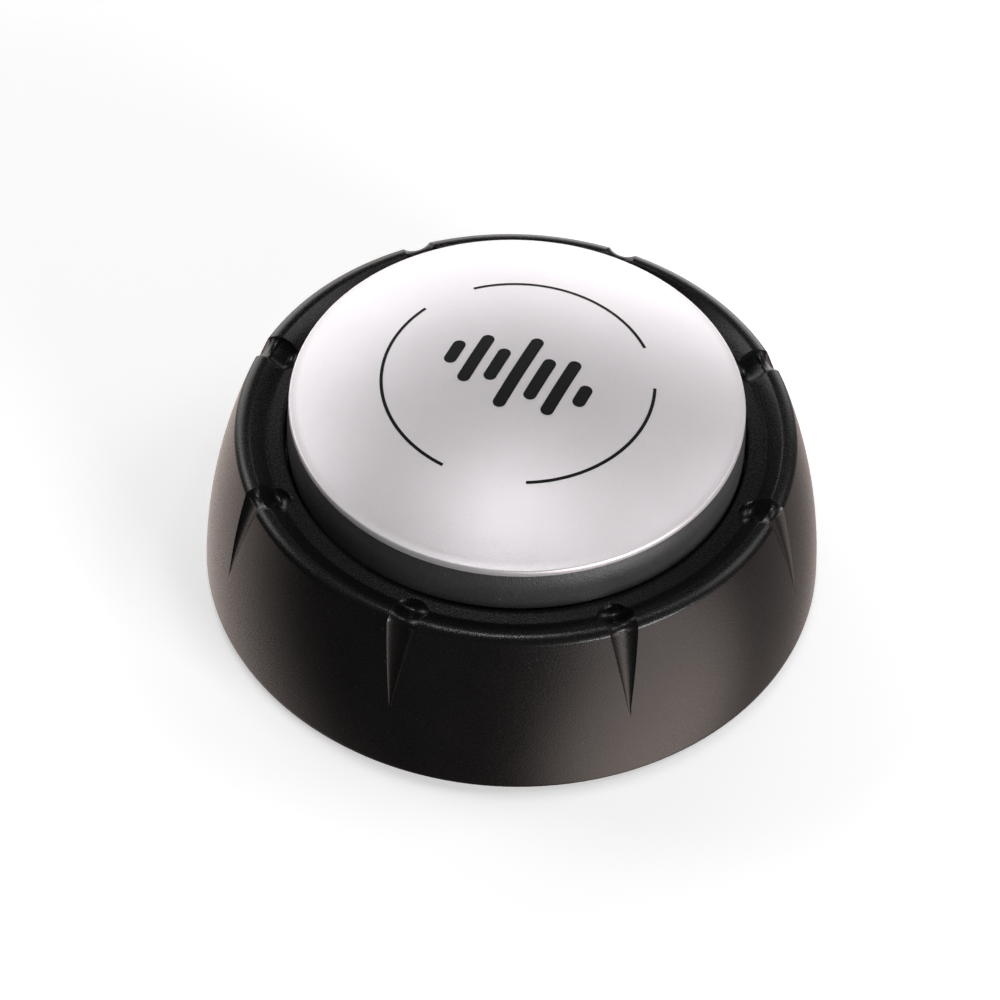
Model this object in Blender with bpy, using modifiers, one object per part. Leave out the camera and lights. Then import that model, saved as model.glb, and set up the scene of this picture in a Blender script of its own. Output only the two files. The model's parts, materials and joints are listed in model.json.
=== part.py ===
"""Quiz buzzer: a round table-top push button that plays a sound when it is pressed.

Metres, +Z up.  The origin is the middle of the footprint, on the surface that the
rubber feet stand on.  The button moves along the Z axis.
"""
import math

import bmesh
import bpy
from mathutils import Vector

MM = 0.001
GAP = 0.3 * MM                    # clearance between pieces that rest on each other
NAME = "quiz_buzzer"

# ---- Driving dimensions: what is seen from outside ----
BASE_RADIUS = 47.5 * MM           # outside of the housing at the table
WALL_BOTTOM = 0.6 * MM            # the wall stops just above the table
WALL_TOP = 27.1 * MM              # where the wall meets the rim bead
WALL_TAPER = 4.75 * MM            # how far the wall leans in over its height
WALL_BELLY = 1.05 * MM            # how far the wall bulges at half height
BEAD_CENTRE = (41.0 * MM, 26.7 * MM)
BEAD_RADIUS = 1.7 * MM
DECK_Z = 26.8 * MM                # flat ring between the bead and the button
DECK_OUTER_RADIUS = 38.1 * MM
OPENING_RADIUS = 35.05 * MM
NOTCH_COUNT = 8
NOTCH_TIP_Z = 12.4 * MM           # where each notch fades out on the wall
SCOOP_RADIUS = 2.6 * MM           # ball that hollows the deck end of a notch
SCOOP_CENTRE = (38.7 * MM, 28.2 * MM)
GROOVE_TOP = (44.7 * MM, 29.5 * MM)
GROOVE_RADIUS = 3.65 * MM         # cone that hollows the wall, at its wide end
SKIRT_RADIUS = 34.65 * MM         # outside of the button's skirt
SKIRT_TOP = 33.0 * MM
FACE_RADIUS = 34.4 * MM
FACE_EDGE_Z = 34.4 * MM           # height of the dome's edge
FACE_RISE = 6.4 * MM              # how far the dome rises above its edge
FACE_THICKNESS = 0.9 * MM
BUTTON_TRAVEL = 3.0 * MM

# ---- Housing, inside ----
WALL_THICKNESS = 2.4 * MM
DECK_THICKNESS = 2.6 * MM
COLLAR_BOTTOM = 22.5 * MM
COLLAR_THICKNESS = 1.7 * MM
PLATE_SEAT_RADIUS = 45.1 * MM     # recess in the wall's foot that takes the base plate
LEDGE_RADIUS = 44.0 * MM
CASE_BOSS_RING = 41.0 * MM
CASE_BOSS_RADIUS = 3.2 * MM
CASE_BOSS_TOP = 18.0 * MM         # low enough to stay inside the leaning wall
CASE_PILOT_TOP = 12.5 * MM
CARRIER_BOSS_RING = 39.6 * MM
CARRIER_BOSS_RADIUS = 2.6 * MM
CARRIER_PILOT_TOP = 23.0 * MM
CASE_BOSS_ANGLES = (0, 90, 180, 270)
CARRIER_BOSS_ANGLES = (30, 150, 210, 330)

# ---- Base plate, feet and fasteners ----
PLATE_BOTTOM = 1.0 * MM
PLATE_TOP = 3.0 * MM
PLATE_RADIUS = 44.8 * MM
FOOT_RING = 39.5 * MM
FOOT_RADIUS = 4.2 * MM
FOOT_HEIGHT = 1.2 * MM
FOOT_COUNT = 4
SHANK_RADIUS = 0.9 * MM
PILOT_RADIUS = 1.2 * MM
HEAD_RADIUS = 2.1 * MM
HEAD_HEIGHT = 0.9 * MM
COUNTERBORE_RADIUS = 2.5 * MM
COUNTERBORE_DEPTH = 1.3 * MM
CASE_SCREW_LENGTH = 10.5 * MM
CARRIER_SCREW_LENGTH = 7.0 * MM
DOOR_SCREW_LENGTH = 4.0 * MM
BOARD_SCREW_LENGTH = 3.2 * MM
SPEAKER_SCREW_LENGTH = 3.0 * MM

# ---- Batteries: two AAA cells that lie along X ----
CELL_RADIUS = 5.25 * MM
CELL_LENGTH = 44.5 * MM
NUB_RADIUS = 1.9 * MM
NUB_LENGTH = 0.8 * MM
CELL_Z = 8.45 * MM
CELL_Y = (8.4 * MM, 19.6 * MM)
TUB_HALF_X = 25.2 * MM
TUB_Y = (2.0 * MM, 26.0 * MM)
TUB_WALL = 1.4 * MM
TUB_CEILING = 14.2 * MM
TUB_TOP = 15.4 * MM
DOOR_LEDGE = 1.0 * MM             # the door's opening is this much wider than the tub
DOOR_THICKNESS = 1.6 * MM
FINGER_GROOVES_Y = (18.6 * MM, 20.6 * MM, 22.6 * MM)
FINGER_GROOVE_HALF_X = 9.0 * MM
FINGER_GROOVE_WIDTH = 0.8 * MM
FINGER_GROOVE_DEPTH = 0.4 * MM
TONGUE_X = 12.0 * MM
TONGUE_WIDTH = 5.0 * MM
TONGUE_REACH = 2.2 * MM
TONGUE_THICKNESS = 0.8 * MM
POCKET_Z = (1.5 * MM, 4.2 * MM)   # room for a tongue to tip in, in the plate's edge
EAR_HALF_X = 4.0 * MM
EAR_END_Y = 32.7 * MM
DOOR_SCREW_Y = 30.0 * MM
DOOR_PILOT_RADIUS = 1.3 * MM
DOOR_PILOT_TOP = 6.5 * MM
SCREW_BLOCK_HALF_X = 5.5 * MM     # block over the door's ear that takes its screw
SCREW_BLOCK_END_Y = 34.6 * MM
SCREW_BLOCK_TOP = 8.0 * MM
CONTACT_THICKNESS = 0.4 * MM
TAB_HALF_WIDTH = 1.0 * MM         # solder tabs that pass through the tub's end wall
TAB_Z = 10.0 * MM
TAB_END_X = 28.6 * MM
CONTACT_HALF_WIDTH = 4.0 * MM
CONTACT_LOW = 3.6 * MM
CONTACT_SPRING_WIRE = 0.35 * MM
CONTACT_SPRING_RADII = (3.4 * MM, 2.0 * MM)   # at the plate and at the cell
CONTACT_SPRING_TURNS = 3

# ---- Carrier plate and springs ----
CARRIER_RADIUS = 42.0 * MM
CARRIER_BOTTOM = 15.8 * MM
CARRIER_TOP = 17.3 * MM
WIRE_WINDOWS = ((-11.5 * MM, -4.5 * MM, -17.0 * MM, -12.6 * MM),      # x0, x1, y0, y1
                (27.9 * MM, 31.2 * MM, 1.5 * MM, 8.5 * MM))
CARRIER_PIN_LENGTH = 4.0 * MM     # pins that centre the springs
SPRING_RING = 26.0 * MM
SPRING_ANGLES = (30.0, 150.0, 270.0)
SPRING_MEAN_RADIUS = 2.9 * MM
SPRING_WIRE_RADIUS = 0.4 * MM
SPRING_TURNS = 4
SPRING_SEAT_Z = 29.0 * MM
SPRING_SEAT_RADIUS = 3.9 * MM
SPRING_PIN_RADIUS = 1.6 * MM
SPRING_PIN_LENGTH = 3.0 * MM

# ---- Button cap, inside ----
FLANGE_RADIUS = 36.5 * MM
FLANGE_BOTTOM = 20.6 * MM
CAP_THICKNESS = 1.8 * MM
SKIRT_THICKNESS = 2.05 * MM
POST_RADIUS = 3.0 * MM

# ---- Circuit board and switch ----
BOARD_HALF_X = 15.0 * MM
BOARD_HALF_Y = 12.0 * MM
BOARD_THICKNESS = 1.2 * MM
BOARD_BOTTOM = CARRIER_TOP + GAP
BOARD_TOP = BOARD_BOTTOM + BOARD_THICKNESS
PART_Z = BOARD_TOP + GAP          # where the parts on the board stand
SWITCH_HALF = 3.5 * MM
SWITCH_HEIGHT = 6.5 * MM
PLUNGER_RADIUS = 1.7 * MM
PLUNGER_BORE = 2.0 * MM
PLUNGER_BOTTOM = PART_Z + 3.8 * MM
PLUNGER_TOP = PART_Z + SWITCH_HEIGHT + BUTTON_TRAVEL + 0.5 * MM
BOARD_SCREW_X = 12.5 * MM
CHIP_PLACE = (8.5 * MM, -6.5 * MM)
CHIP_PROFILE = ((0, 1.6), (1.6, 1.45), (3.0, 1.0), (3.8, 0.35), (3.9, 0), (0, 0))
CAPACITOR_PLACE = (-9.0 * MM, 7.0 * MM)
CAPACITOR_PROFILE = ((0, 7.0), (2.2, 7.0), (2.5, 6.7), (2.5, 1.1), (2.3, 0.8), (2.5, 0.5),
                     (2.5, 0), (0, 0))
RESISTOR_SIZE = (3.2 * MM, 1.6 * MM, 0.6 * MM)
RESISTOR_PLACES = ((3.0 * MM, 8.5 * MM), (3.0 * MM, 5.5 * MM), (9.5 * MM, 7.0 * MM))

# ---- Loudspeaker: faces down at the grille ----
SPEAKER_Y = -19.8 * MM
SPEAKER_RADIUS = 16.0 * MM
GRILLE_RADIUS = 12.0 * MM
GRILLE_SLOTS = 7
GRILLE_PITCH = 3.4 * MM
GRILLE_SLOT = 1.5 * MM
SPEAKER_SCREW_X = 18.7 * MM
LUG_RADIUS = 2.3 * MM             # lugs on the base plate that take the speaker's screws
LUG_TOP = 5.2 * MM
SPEAKER_RIM_TOP = 5.3 * MM
GASKET_INNER_RADIUS = 13.9 * MM
GASKET_TOP = 4.1 * MM
BASKET_PROFILE = ((4.7, 10.4), (9.6, 10.4), (14.6, 5.3), (16.0, 5.3), (16.0, 4.4), (14.2, 4.4),
                  (14.2, 4.9), (9.2, 9.5), (4.7, 9.5))
MAGNET_PROFILE = ((0, 14.6), (7.6, 14.6), (8.0, 14.2), (8.0, 10.7), (4.7, 10.7), (4.7, 13.2),
                  (2.9, 13.2), (2.9, 9.6), (0, 9.6))
CONE_PROFILE = ((0, 7.6), (2.4, 7.2), (3.5, 6.5), (3.5, 12.4), (4.1, 12.4), (4.1, 7.3),
                (11.2, 4.7), (12.4, 5.2), (13.6, 4.9), (13.6, 4.5), (12.4, 4.7), (11.2, 4.2),
                (3.9, 5.9), (2.2, 6.7), (0, 7.1))

# ---- Leads ----
WIRE_RADIUS = 0.5 * MM
WIRE_ROUTES = {                   # millimetres, from the soldered end below to the board
    "speaker_wire_1": ("wire_red", [(-10.6, -11.4, 10.6), (-10.8, -12.2, 12.6),
                                    (-10.2, -14.6, 15.6), (-9.8, -15.2, 18.2),
                                    (-9.5, -13.4, 20.2), (-9.2, -10.8, 19.7)]),
    "speaker_wire_2": ("wire_black", [(-7.6, -9.6, 10.8), (-7.4, -11.4, 13.0),
                                      (-6.6, -14.4, 15.6), (-6.2, -15.0, 18.2),
                                      (-5.9, -13.4, 20.0), (-5.6, -10.8, 19.7)]),
    "battery_wire_1": ("wire_red", [(29.4, 8.2, 10.2), (30.2, 7.6, 11.8), (30.2, 6.4, 14.2),
                                    (29.8, 5.4, 17.0), (28.4, 4.6, 19.2), (24.0, 3.6, 20.4),
                                    (18.0, 3.4, 20.5), (13.6, 3.4, 19.7)]),
    "battery_wire_2": ("wire_black", [(29.4, 19.4, 10.2), (31.2, 17.5, 11.0),
                                      (32.0, 12.0, 11.8), (32.2, 7.0, 12.6),
                                      (31.0, 3.8, 14.6), (29.6, 2.9, 17.0),
                                      (27.8, 1.4, 19.4), (22.0, -2.6, 20.4),
                                      (13.6, -3.4, 19.7)]),
}

# ---- Surface finishes: colour, roughness, metallic ----
FINISHES = {
    "black_plastic": ((0.012, 0.012, 0.013), 0.42, 0.0),
    "grey_plastic": ((0.055, 0.055, 0.060), 0.50, 0.0),
    "silver_face": ((0.72, 0.70, 0.72), 0.34, 0.75),
    "inner_plastic": ((0.030, 0.030, 0.032), 0.55, 0.0),
    "rubber": ((0.020, 0.020, 0.020), 0.80, 0.0),
    "steel": ((0.60, 0.60, 0.62), 0.30, 1.0),
    "board": ((0.03, 0.16, 0.07), 0.45, 0.0),
    "epoxy": ((0.015, 0.015, 0.015), 0.30, 0.0),
    "cell_jacket": ((0.10, 0.22, 0.40), 0.35, 0.0),
    "paper_cone": ((0.05, 0.05, 0.05), 0.85, 0.0),
    "foam": ((0.06, 0.06, 0.06), 0.95, 0.0),
    "wire_red": ((0.45, 0.02, 0.02), 0.45, 0.0),
    "wire_black": ((0.02, 0.02, 0.02), 0.45, 0.0),
    "switch_white": ((0.75, 0.75, 0.72), 0.40, 0.0),
    "resistor_tan": ((0.55, 0.42, 0.25), 0.50, 0.0),
}

FINE_STEPS = 40
SMALL_STEPS = 16


# ---- Tools ----
def clear_scene():
    """Remove whatever the file starts with."""
    for old in list(bpy.data.objects):
        bpy.data.objects.remove(old, do_unlink=True)


def new_collection(name):
    """Make a collection in the scene and return it."""
    collection = bpy.data.collections.new(name)
    bpy.context.scene.collection.children.link(collection)
    return collection


clear_scene()
PARTS = new_collection(NAME)
CUTTERS = new_collection(NAME + "_cutters")


def finish(name):
    """Return the material of that name, made on its first use."""
    material = bpy.data.materials.get(name)
    if material is None:
        colour, roughness, metallic = FINISHES[name]
        material = bpy.data.materials.new(name)
        material.use_nodes = True
        shader = material.node_tree.nodes["Principled BSDF"]
        shader.inputs["Base Color"].default_value = (*colour, 1.0)
        shader.inputs["Roughness"].default_value = roughness
        shader.inputs["Metallic"].default_value = metallic
    return material


def add_object(name, data, finish_name=None):
    """Put a mesh or curve in the scene, as a part when it has a finish, else as a cutter."""
    item = bpy.data.objects.new(name, data)
    if finish_name is None:
        CUTTERS.objects.link(item)
        item.hide_render = True
        item.display_type = "WIRE"
    else:
        PARTS.objects.link(item)
        data.materials.append(finish(finish_name))
    return item


def smooth(mesh, angle=35.0):
    """Shade a round piece smooth and keep its corners sharp."""
    mesh.shade_smooth()
    mesh.set_sharp_from_angle(angle=math.radians(angle))


def from_bmesh(name, shape, finish_name=None):
    """Turn a bmesh into an object."""
    mesh = bpy.data.meshes.new(name)
    shape.to_mesh(mesh)
    shape.free()
    smooth(mesh)
    return add_object(name, mesh, finish_name)


def turned(name, profile, finish_name=None, steps=FINE_STEPS, location=(0, 0, 0)):
    """Turn a profile of (radius, z) points about Z.

    The profile runs from top to bottom on its outer side.  One that starts and ends
    on the axis stays open, and any other is closed into a ring.
    """
    on_axis = profile[0][0] == 0 and profile[-1][0] == 0
    count = len(profile)
    edges = [(i, i + 1) for i in range(count - 1)]
    if not on_axis:
        edges.append((count - 1, 0))
    mesh = bpy.data.meshes.new(name)
    mesh.from_pydata([(radius, 0, z) for radius, z in profile], edges, [])
    item = add_object(name, mesh, finish_name)
    item.location = location
    screw = item.modifiers.new("turn", "SCREW")
    screw.steps = steps
    screw.render_steps = steps
    screw.use_merge_vertices = True
    screw.merge_threshold = 0.00001
    screw.use_smooth_shade = True
    return item


def in_millimetres(profile):
    """Turn a profile written in millimetres into metres."""
    return [(radius * MM, z * MM) for radius, z in profile]


def screws(name, places, head_z, length, points_up=True):
    """Equal screws, one piece each: the head's outer face is at head_z."""
    heights = [(0, length), (SHANK_RADIUS, length - SHANK_RADIUS), (SHANK_RADIUS, HEAD_HEIGHT),
               (HEAD_RADIUS, HEAD_HEIGHT), (HEAD_RADIUS, HEAD_HEIGHT * 0.35),
               (HEAD_RADIUS * 0.86, 0), (0, 0)]
    if points_up:
        profile = [(radius, height) for radius, height in heights]
    else:
        profile = [(radius, -height) for radius, height in reversed(heights)]
    for number, (x, y) in enumerate(places, start=1):
        turned(f"{name}_{number}", profile, "steel", steps=8, location=(x, y, head_z))


def cylinders(name, places, radius, low, high, finish_name=None, steps=SMALL_STEPS):
    """Upright cylinders of one size, in one mesh."""
    shape = bmesh.new()
    for x, y in places:
        made = bmesh.ops.create_cone(shape, cap_ends=True, segments=steps, radius1=radius,
                                     radius2=radius, depth=high - low)
        bmesh.ops.translate(shape, verts=made["verts"], vec=(x, y, (low + high) / 2))
    return from_bmesh(name, shape, finish_name)


def boxes(name, corners, finish_name=None):
    """Boxes given as (x0, x1, y0, y1, z0, z1), in one mesh."""
    shape = bmesh.new()
    for x0, x1, y0, y1, z0, z1 in corners:
        made = bmesh.ops.create_cube(shape, size=1)
        bmesh.ops.scale(shape, verts=made["verts"], vec=(x1 - x0, y1 - y0, z1 - z0))
        middle = ((x0 + x1) / 2, (y0 + y1) / 2, (z0 + z1) / 2)
        bmesh.ops.translate(shape, verts=made["verts"], vec=middle)
    return from_bmesh(name, shape, finish_name)


def combine(target, tool, operation):
    """Add a Boolean modifier to the target."""
    modifier = target.modifiers.new(operation.lower(), "BOOLEAN")
    modifier.operation = operation
    modifier.object = tool


def cut(target, *tools):
    """Cut each tool out of the target."""
    for tool in tools:
        combine(target, tool, "DIFFERENCE")


def join(target, *tools):
    """Make each tool part of the target."""
    for tool in tools:
        combine(target, tool, "UNION")


def ring_places(radius, angles):
    """Points on a circle about Z, one for each angle in degrees."""
    turns = [math.radians(angle) for angle in angles]
    return [(radius * math.cos(turn), radius * math.sin(turn)) for turn in turns]


def arc(centre, radius, start, end, count):
    """Points of a circular arc in a profile; angles in degrees from the outward direction."""
    points = []
    for i in range(count):
        angle = math.radians(start + (end - start) * i / (count - 1))
        points.append((centre[0] + radius * math.cos(angle), centre[1] + radius * math.sin(angle)))
    return points


def wire(name, points, radius, finish_name):
    """A round wire along the points."""
    curve = bpy.data.curves.new(name, "CURVE")
    curve.dimensions = "3D"
    curve.bevel_depth = radius
    curve.bevel_resolution = 1
    curve.use_fill_caps = True
    spline = curve.splines.new("POLY")
    spline.points.add(len(points) - 1)
    for slot, point in zip(spline.points, points):
        slot.co = (*point, 1.0)
    return add_object(name, curve, finish_name)


def coil_points(centre, radius_low, radius_high, low, high, turns, along="Z", per_turn=10):
    """Points of a helix whose ends lie flat, along Z or along X."""
    count = int(turns * per_turn)
    points = []
    for i in range(count + 1):
        share = i / count
        angle = math.tau * turns * share
        rise = share - math.sin(math.tau * share) / (math.tau * turns)
        radius = radius_low + (radius_high - radius_low) * share
        side_a = radius * math.cos(angle)
        side_b = radius * math.sin(angle)
        level = low + (high - low) * rise
        if along == "Z":
            points.append((centre[0] + side_a, centre[1] + side_b, level))
        else:
            points.append((level, centre[0] + side_a, centre[1] + side_b))
    return points


def smooth_route(corners, per_leg=3):
    """A smooth curve through a wire's own points (Catmull-Rom)."""
    knots = [Vector(corner) * MM for corner in corners]
    knots = [2 * knots[0] - knots[1]] + knots + [2 * knots[-1] - knots[-2]]
    route = []
    for a, b, c, d in zip(knots, knots[1:], knots[2:], knots[3:]):
        for step in range(per_leg):
            t = step / per_leg
            route.append(0.5 * (2 * b + (c - a) * t + (2 * a - 5 * b + 4 * c - d) * t ** 2
                                + (3 * b - a - 3 * c + d) * t ** 3))
    route.append(knots[-2])
    return route


# ---- The dome that the face, the cap's top and the cap's ceiling share ----
DOME_RADIUS = (FACE_RADIUS ** 2 + FACE_RISE ** 2) / (2 * FACE_RISE)
DOME_TOP = FACE_EDGE_Z + FACE_RISE
CAP_DEPTH = FACE_THICKNESS + GAP              # the cap's top lies this far under the dome
CEILING_DEPTH = CAP_DEPTH + CAP_THICKNESS


def dome_z(radius, depth=0.0):
    """Height of the dome at a radius, or of a shell that lies at a depth under it."""
    shell = DOME_RADIUS - depth
    return DOME_TOP - DOME_RADIUS + math.sqrt(shell ** 2 - radius ** 2)


def dome_points(outer, depth, count):
    """Profile points along the dome from the axis out to a radius."""
    radii = [outer * i / (count - 1) for i in range(count)]
    return [(radius, dome_z(radius, depth)) for radius in radii]


# ---- Housing ----
def wall_radius(z):
    """Outside radius of the housing's wall: tapered, with a slight belly."""
    t = z / WALL_TOP
    return BASE_RADIUS - WALL_TAPER * t + WALL_BELLY * 4 * t * (1 - t)


def housing_profile():
    """Outline of the housing's wall, bead, deck and collar."""
    lip = 0.4 * MM
    outside = [(OPENING_RADIUS, DECK_Z - lip), (OPENING_RADIUS + lip, DECK_Z),
               (DECK_OUTER_RADIUS, DECK_Z)]
    outside += arc(BEAD_CENTRE, BEAD_RADIUS, 122, 8, 5)
    steps = 4
    for i in range(1, steps + 1):
        z = WALL_TOP + (WALL_BOTTOM - WALL_TOP) * i / steps
        outside.append((wall_radius(z), z))
    ledge_z = PLATE_TOP + GAP
    ceiling = DECK_Z - DECK_THICKNESS
    inside = [(PLATE_SEAT_RADIUS, WALL_BOTTOM), (PLATE_SEAT_RADIUS, ledge_z),
              (LEDGE_RADIUS, ledge_z), (LEDGE_RADIUS, 9.0 * MM)]
    for share in (0.65, 1.0):
        z = ceiling * share
        inside.append((wall_radius(z) - WALL_THICKNESS, z))
    collar = OPENING_RADIUS + COLLAR_THICKNESS
    inside += [(collar, ceiling), (collar, COLLAR_BOTTOM), (OPENING_RADIUS, COLLAR_BOTTOM)]
    return outside + inside


def notch_cutter():
    """Eight scoops in the deck, each with a tapering groove down the wall."""
    groove_top = Vector((GROOVE_TOP[0], 0, GROOVE_TOP[1]))
    tip = Vector((wall_radius(NOTCH_TIP_Z), 0, NOTCH_TIP_Z))
    scoops = bmesh.new()
    grooves = bmesh.new()
    axis = groove_top - tip
    lean = Vector((0, 0, 1)).rotation_difference(axis).to_matrix()
    for i in range(NOTCH_COUNT):
        turn = math.tau * (i + 0.5) / NOTCH_COUNT
        about_z = about_vertical(turn)
        ball = bmesh.ops.create_uvsphere(scoops, u_segments=12, v_segments=8, radius=SCOOP_RADIUS)
        bmesh.ops.translate(scoops, verts=ball["verts"], vec=(SCOOP_CENTRE[0], 0, SCOOP_CENTRE[1]))
        bmesh.ops.rotate(scoops, verts=ball["verts"], matrix=about_z)
        cone = bmesh.ops.create_cone(grooves, cap_ends=True, segments=16, radius1=0,
                                     radius2=GROOVE_RADIUS, depth=axis.length)
        bmesh.ops.rotate(grooves, verts=cone["verts"], matrix=lean)
        bmesh.ops.translate(grooves, verts=cone["verts"], vec=(tip + groove_top) / 2)
        bmesh.ops.rotate(grooves, verts=cone["verts"], matrix=about_z)
    bmesh.ops.remove_doubles(grooves, verts=grooves.verts, dist=0.000001)
    return from_bmesh("notch_scoops", scoops), from_bmesh("notch_grooves", grooves)


def about_vertical(turn):
    """Rotation about Z as a 3 by 3 matrix."""
    return Vector((1, 0, 0)).rotation_difference(
        Vector((math.cos(turn), math.sin(turn), 0))).to_matrix()


def make_housing():
    """Upper shell with its screw bosses and notches."""
    housing = turned("housing", housing_profile(), "black_plastic")
    into_deck = DECK_Z - DECK_THICKNESS + 0.5 * MM
    case_places = ring_places(CASE_BOSS_RING, CASE_BOSS_ANGLES)
    carrier_places = ring_places(CARRIER_BOSS_RING, CARRIER_BOSS_ANGLES)
    join(housing,
         cylinders("case_bosses", case_places, CASE_BOSS_RADIUS, PLATE_TOP + GAP, CASE_BOSS_TOP),
         cylinders("carrier_bosses", carrier_places, CARRIER_BOSS_RADIUS,
                   CARRIER_TOP + GAP, into_deck))
    cut(housing,
        cylinders("case_pilots", case_places, PILOT_RADIUS, PLATE_TOP, CASE_PILOT_TOP, steps=12),
        cylinders("carrier_pilots", carrier_places, PILOT_RADIUS, CARRIER_TOP, CARRIER_PILOT_TOP,
                  steps=12),
        *notch_cutter())
    return housing


# ---- Button ----
def make_button_cap():
    """Push cap: domed top, skirt, retaining flange, centre post and spring seats."""
    corner = 0.5 * MM
    top = dome_points(SKIRT_RADIUS - 1.0 * MM, CAP_DEPTH, 5)
    inner = SKIRT_RADIUS - SKIRT_THICKNESS
    flange_top = COLLAR_BOTTOM - GAP
    skirt = [(SKIRT_RADIUS - 0.15 * MM, SKIRT_TOP - 0.15 * MM), (SKIRT_RADIUS, SKIRT_TOP - corner),
             (SKIRT_RADIUS, flange_top), (FLANGE_RADIUS, flange_top),
             (FLANGE_RADIUS, FLANGE_BOTTOM), (inner, FLANGE_BOTTOM),
             (inner, dome_z(inner, CEILING_DEPTH) - 1.5 * MM)]
    ceiling = list(reversed(dome_points(inner - 1.5 * MM, CEILING_DEPTH, 4)))
    cap = turned("button_cap", top + skirt + ceiling, "grey_plastic")
    seats = ring_places(SPRING_RING, SPRING_ANGLES)
    into_dome = dome_z(SPRING_RING + SPRING_SEAT_RADIUS, CEILING_DEPTH) + 1.0 * MM
    join(cap,
         cylinders("cap_spring_seats", seats, SPRING_SEAT_RADIUS, SPRING_SEAT_Z, into_dome),
         cylinders("cap_spring_pins", seats, SPRING_PIN_RADIUS,
                   SPRING_SEAT_Z - SPRING_PIN_LENGTH, into_dome, steps=12),
         cylinders("cap_centre_post", [(0, 0)], POST_RADIUS, PLUNGER_TOP + GAP,
                   dome_z(0, CEILING_DEPTH) + 1.0 * MM))
    return cap


def make_face_disc():
    """Thin domed silver plate with a rounded edge."""
    edge = 0.4 * MM
    top = dome_points(FACE_RADIUS - edge, 0.0, 6)
    low = dome_z(FACE_RADIUS, FACE_THICKNESS)
    side = [(FACE_RADIUS - 0.1 * MM, dome_z(FACE_RADIUS) - 0.1 * MM),
            (FACE_RADIUS, dome_z(FACE_RADIUS) - edge), (FACE_RADIUS, low)]
    under = list(reversed(dome_points(FACE_RADIUS - edge, FACE_THICKNESS, 5)))
    return turned("face_disc", top + side + under, "silver_face")


def make_springs():
    """Three compression springs between the carrier plate and the cap."""
    low = CARRIER_TOP + GAP + SPRING_WIRE_RADIUS
    high = SPRING_SEAT_Z - GAP - SPRING_WIRE_RADIUS
    for number, place in enumerate(ring_places(SPRING_RING, SPRING_ANGLES), start=1):
        points = coil_points(place, SPRING_MEAN_RADIUS, SPRING_MEAN_RADIUS, low, high,
                             SPRING_TURNS)
        wire(f"return_spring_{number}", points, SPRING_WIRE_RADIUS, "steel")


# ---- Carrier plate, board and switch ----
def make_carrier():
    """Inner plate under the deck that carries the circuit board and the springs."""
    carrier = cylinders("carrier_plate", [(0, 0)], CARRIER_RADIUS, CARRIER_BOTTOM, CARRIER_TOP,
                        "inner_plastic", steps=FINE_STEPS)
    boss_room = CASE_BOSS_RADIUS + 2 * GAP
    below = CARRIER_BOTTOM - 1.0 * MM
    above = CARRIER_TOP + 1.0 * MM
    places = ring_places(CASE_BOSS_RING, CASE_BOSS_ANGLES)
    holes = ring_places(CARRIER_BOSS_RING, CARRIER_BOSS_ANGLES)
    holes += [(-BOARD_SCREW_X, 0), (BOARD_SCREW_X, 0)]
    seats = ring_places(SPRING_RING, SPRING_ANGLES)
    windows = [(*window, below, above) for window in WIRE_WINDOWS]
    cut(carrier,
        cylinders("carrier_boss_room", places, boss_room, below, above),
        cylinders("carrier_holes", holes, PILOT_RADIUS, below, above, steps=12),
        boxes("carrier_windows", windows))
    join(carrier, cylinders("carrier_spring_pins", seats, SPRING_PIN_RADIUS,
                            CARRIER_TOP - 0.5 * MM, CARRIER_TOP + CARRIER_PIN_LENGTH,
                            steps=12))
    return carrier


def make_board():
    """Circuit board with the sound chip, a capacitor, resistors and the switch."""
    board = boxes("circuit_board", [(-BOARD_HALF_X, BOARD_HALF_X, -BOARD_HALF_Y, BOARD_HALF_Y,
                                     BOARD_BOTTOM, BOARD_TOP)], "board")
    screw_places = [(-BOARD_SCREW_X, 0), (BOARD_SCREW_X, 0)]
    cut(board, cylinders("board_holes", screw_places, PILOT_RADIUS, CARRIER_TOP, PART_Z,
                         steps=12))
    screws("board_screw", screw_places, PART_Z + HEAD_HEIGHT, BOARD_SCREW_LENGTH,
           points_up=False)
    turned("sound_chip", in_millimetres(CHIP_PROFILE), "epoxy", steps=16,
           location=(*CHIP_PLACE, PART_Z))
    turned("capacitor", in_millimetres(CAPACITOR_PROFILE), "epoxy", steps=16,
           location=(*CAPACITOR_PLACE, PART_Z))
    length, width, height = RESISTOR_SIZE
    for number, (x, y) in enumerate(RESISTOR_PLACES, start=1):
        corners = (x, x + length, y, y + width, PART_Z, PART_Z + height)
        boxes(f"resistor_{number}", [corners], "resistor_tan")


def make_switch():
    """Momentary push switch: square body with a round sliding plunger."""
    body = boxes("switch_body", [(-SWITCH_HALF, SWITCH_HALF, -SWITCH_HALF, SWITCH_HALF,
                                  PART_Z, PART_Z + SWITCH_HEIGHT)], "epoxy")
    bore_floor = PLUNGER_BOTTOM - BUTTON_TRAVEL - GAP
    cut(body, cylinders("plunger_bore", [(0, 0)], PLUNGER_BORE, bore_floor,
                        PART_Z + SWITCH_HEIGHT + 1.0 * MM, steps=24))
    bevel = 0.3 * MM
    profile = [(0, PLUNGER_TOP), (PLUNGER_RADIUS - bevel, PLUNGER_TOP),
               (PLUNGER_RADIUS, PLUNGER_TOP - bevel), (PLUNGER_RADIUS, PLUNGER_BOTTOM),
               (0, PLUNGER_BOTTOM)]
    turned("switch_plunger", profile, "switch_white", steps=16)


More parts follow.
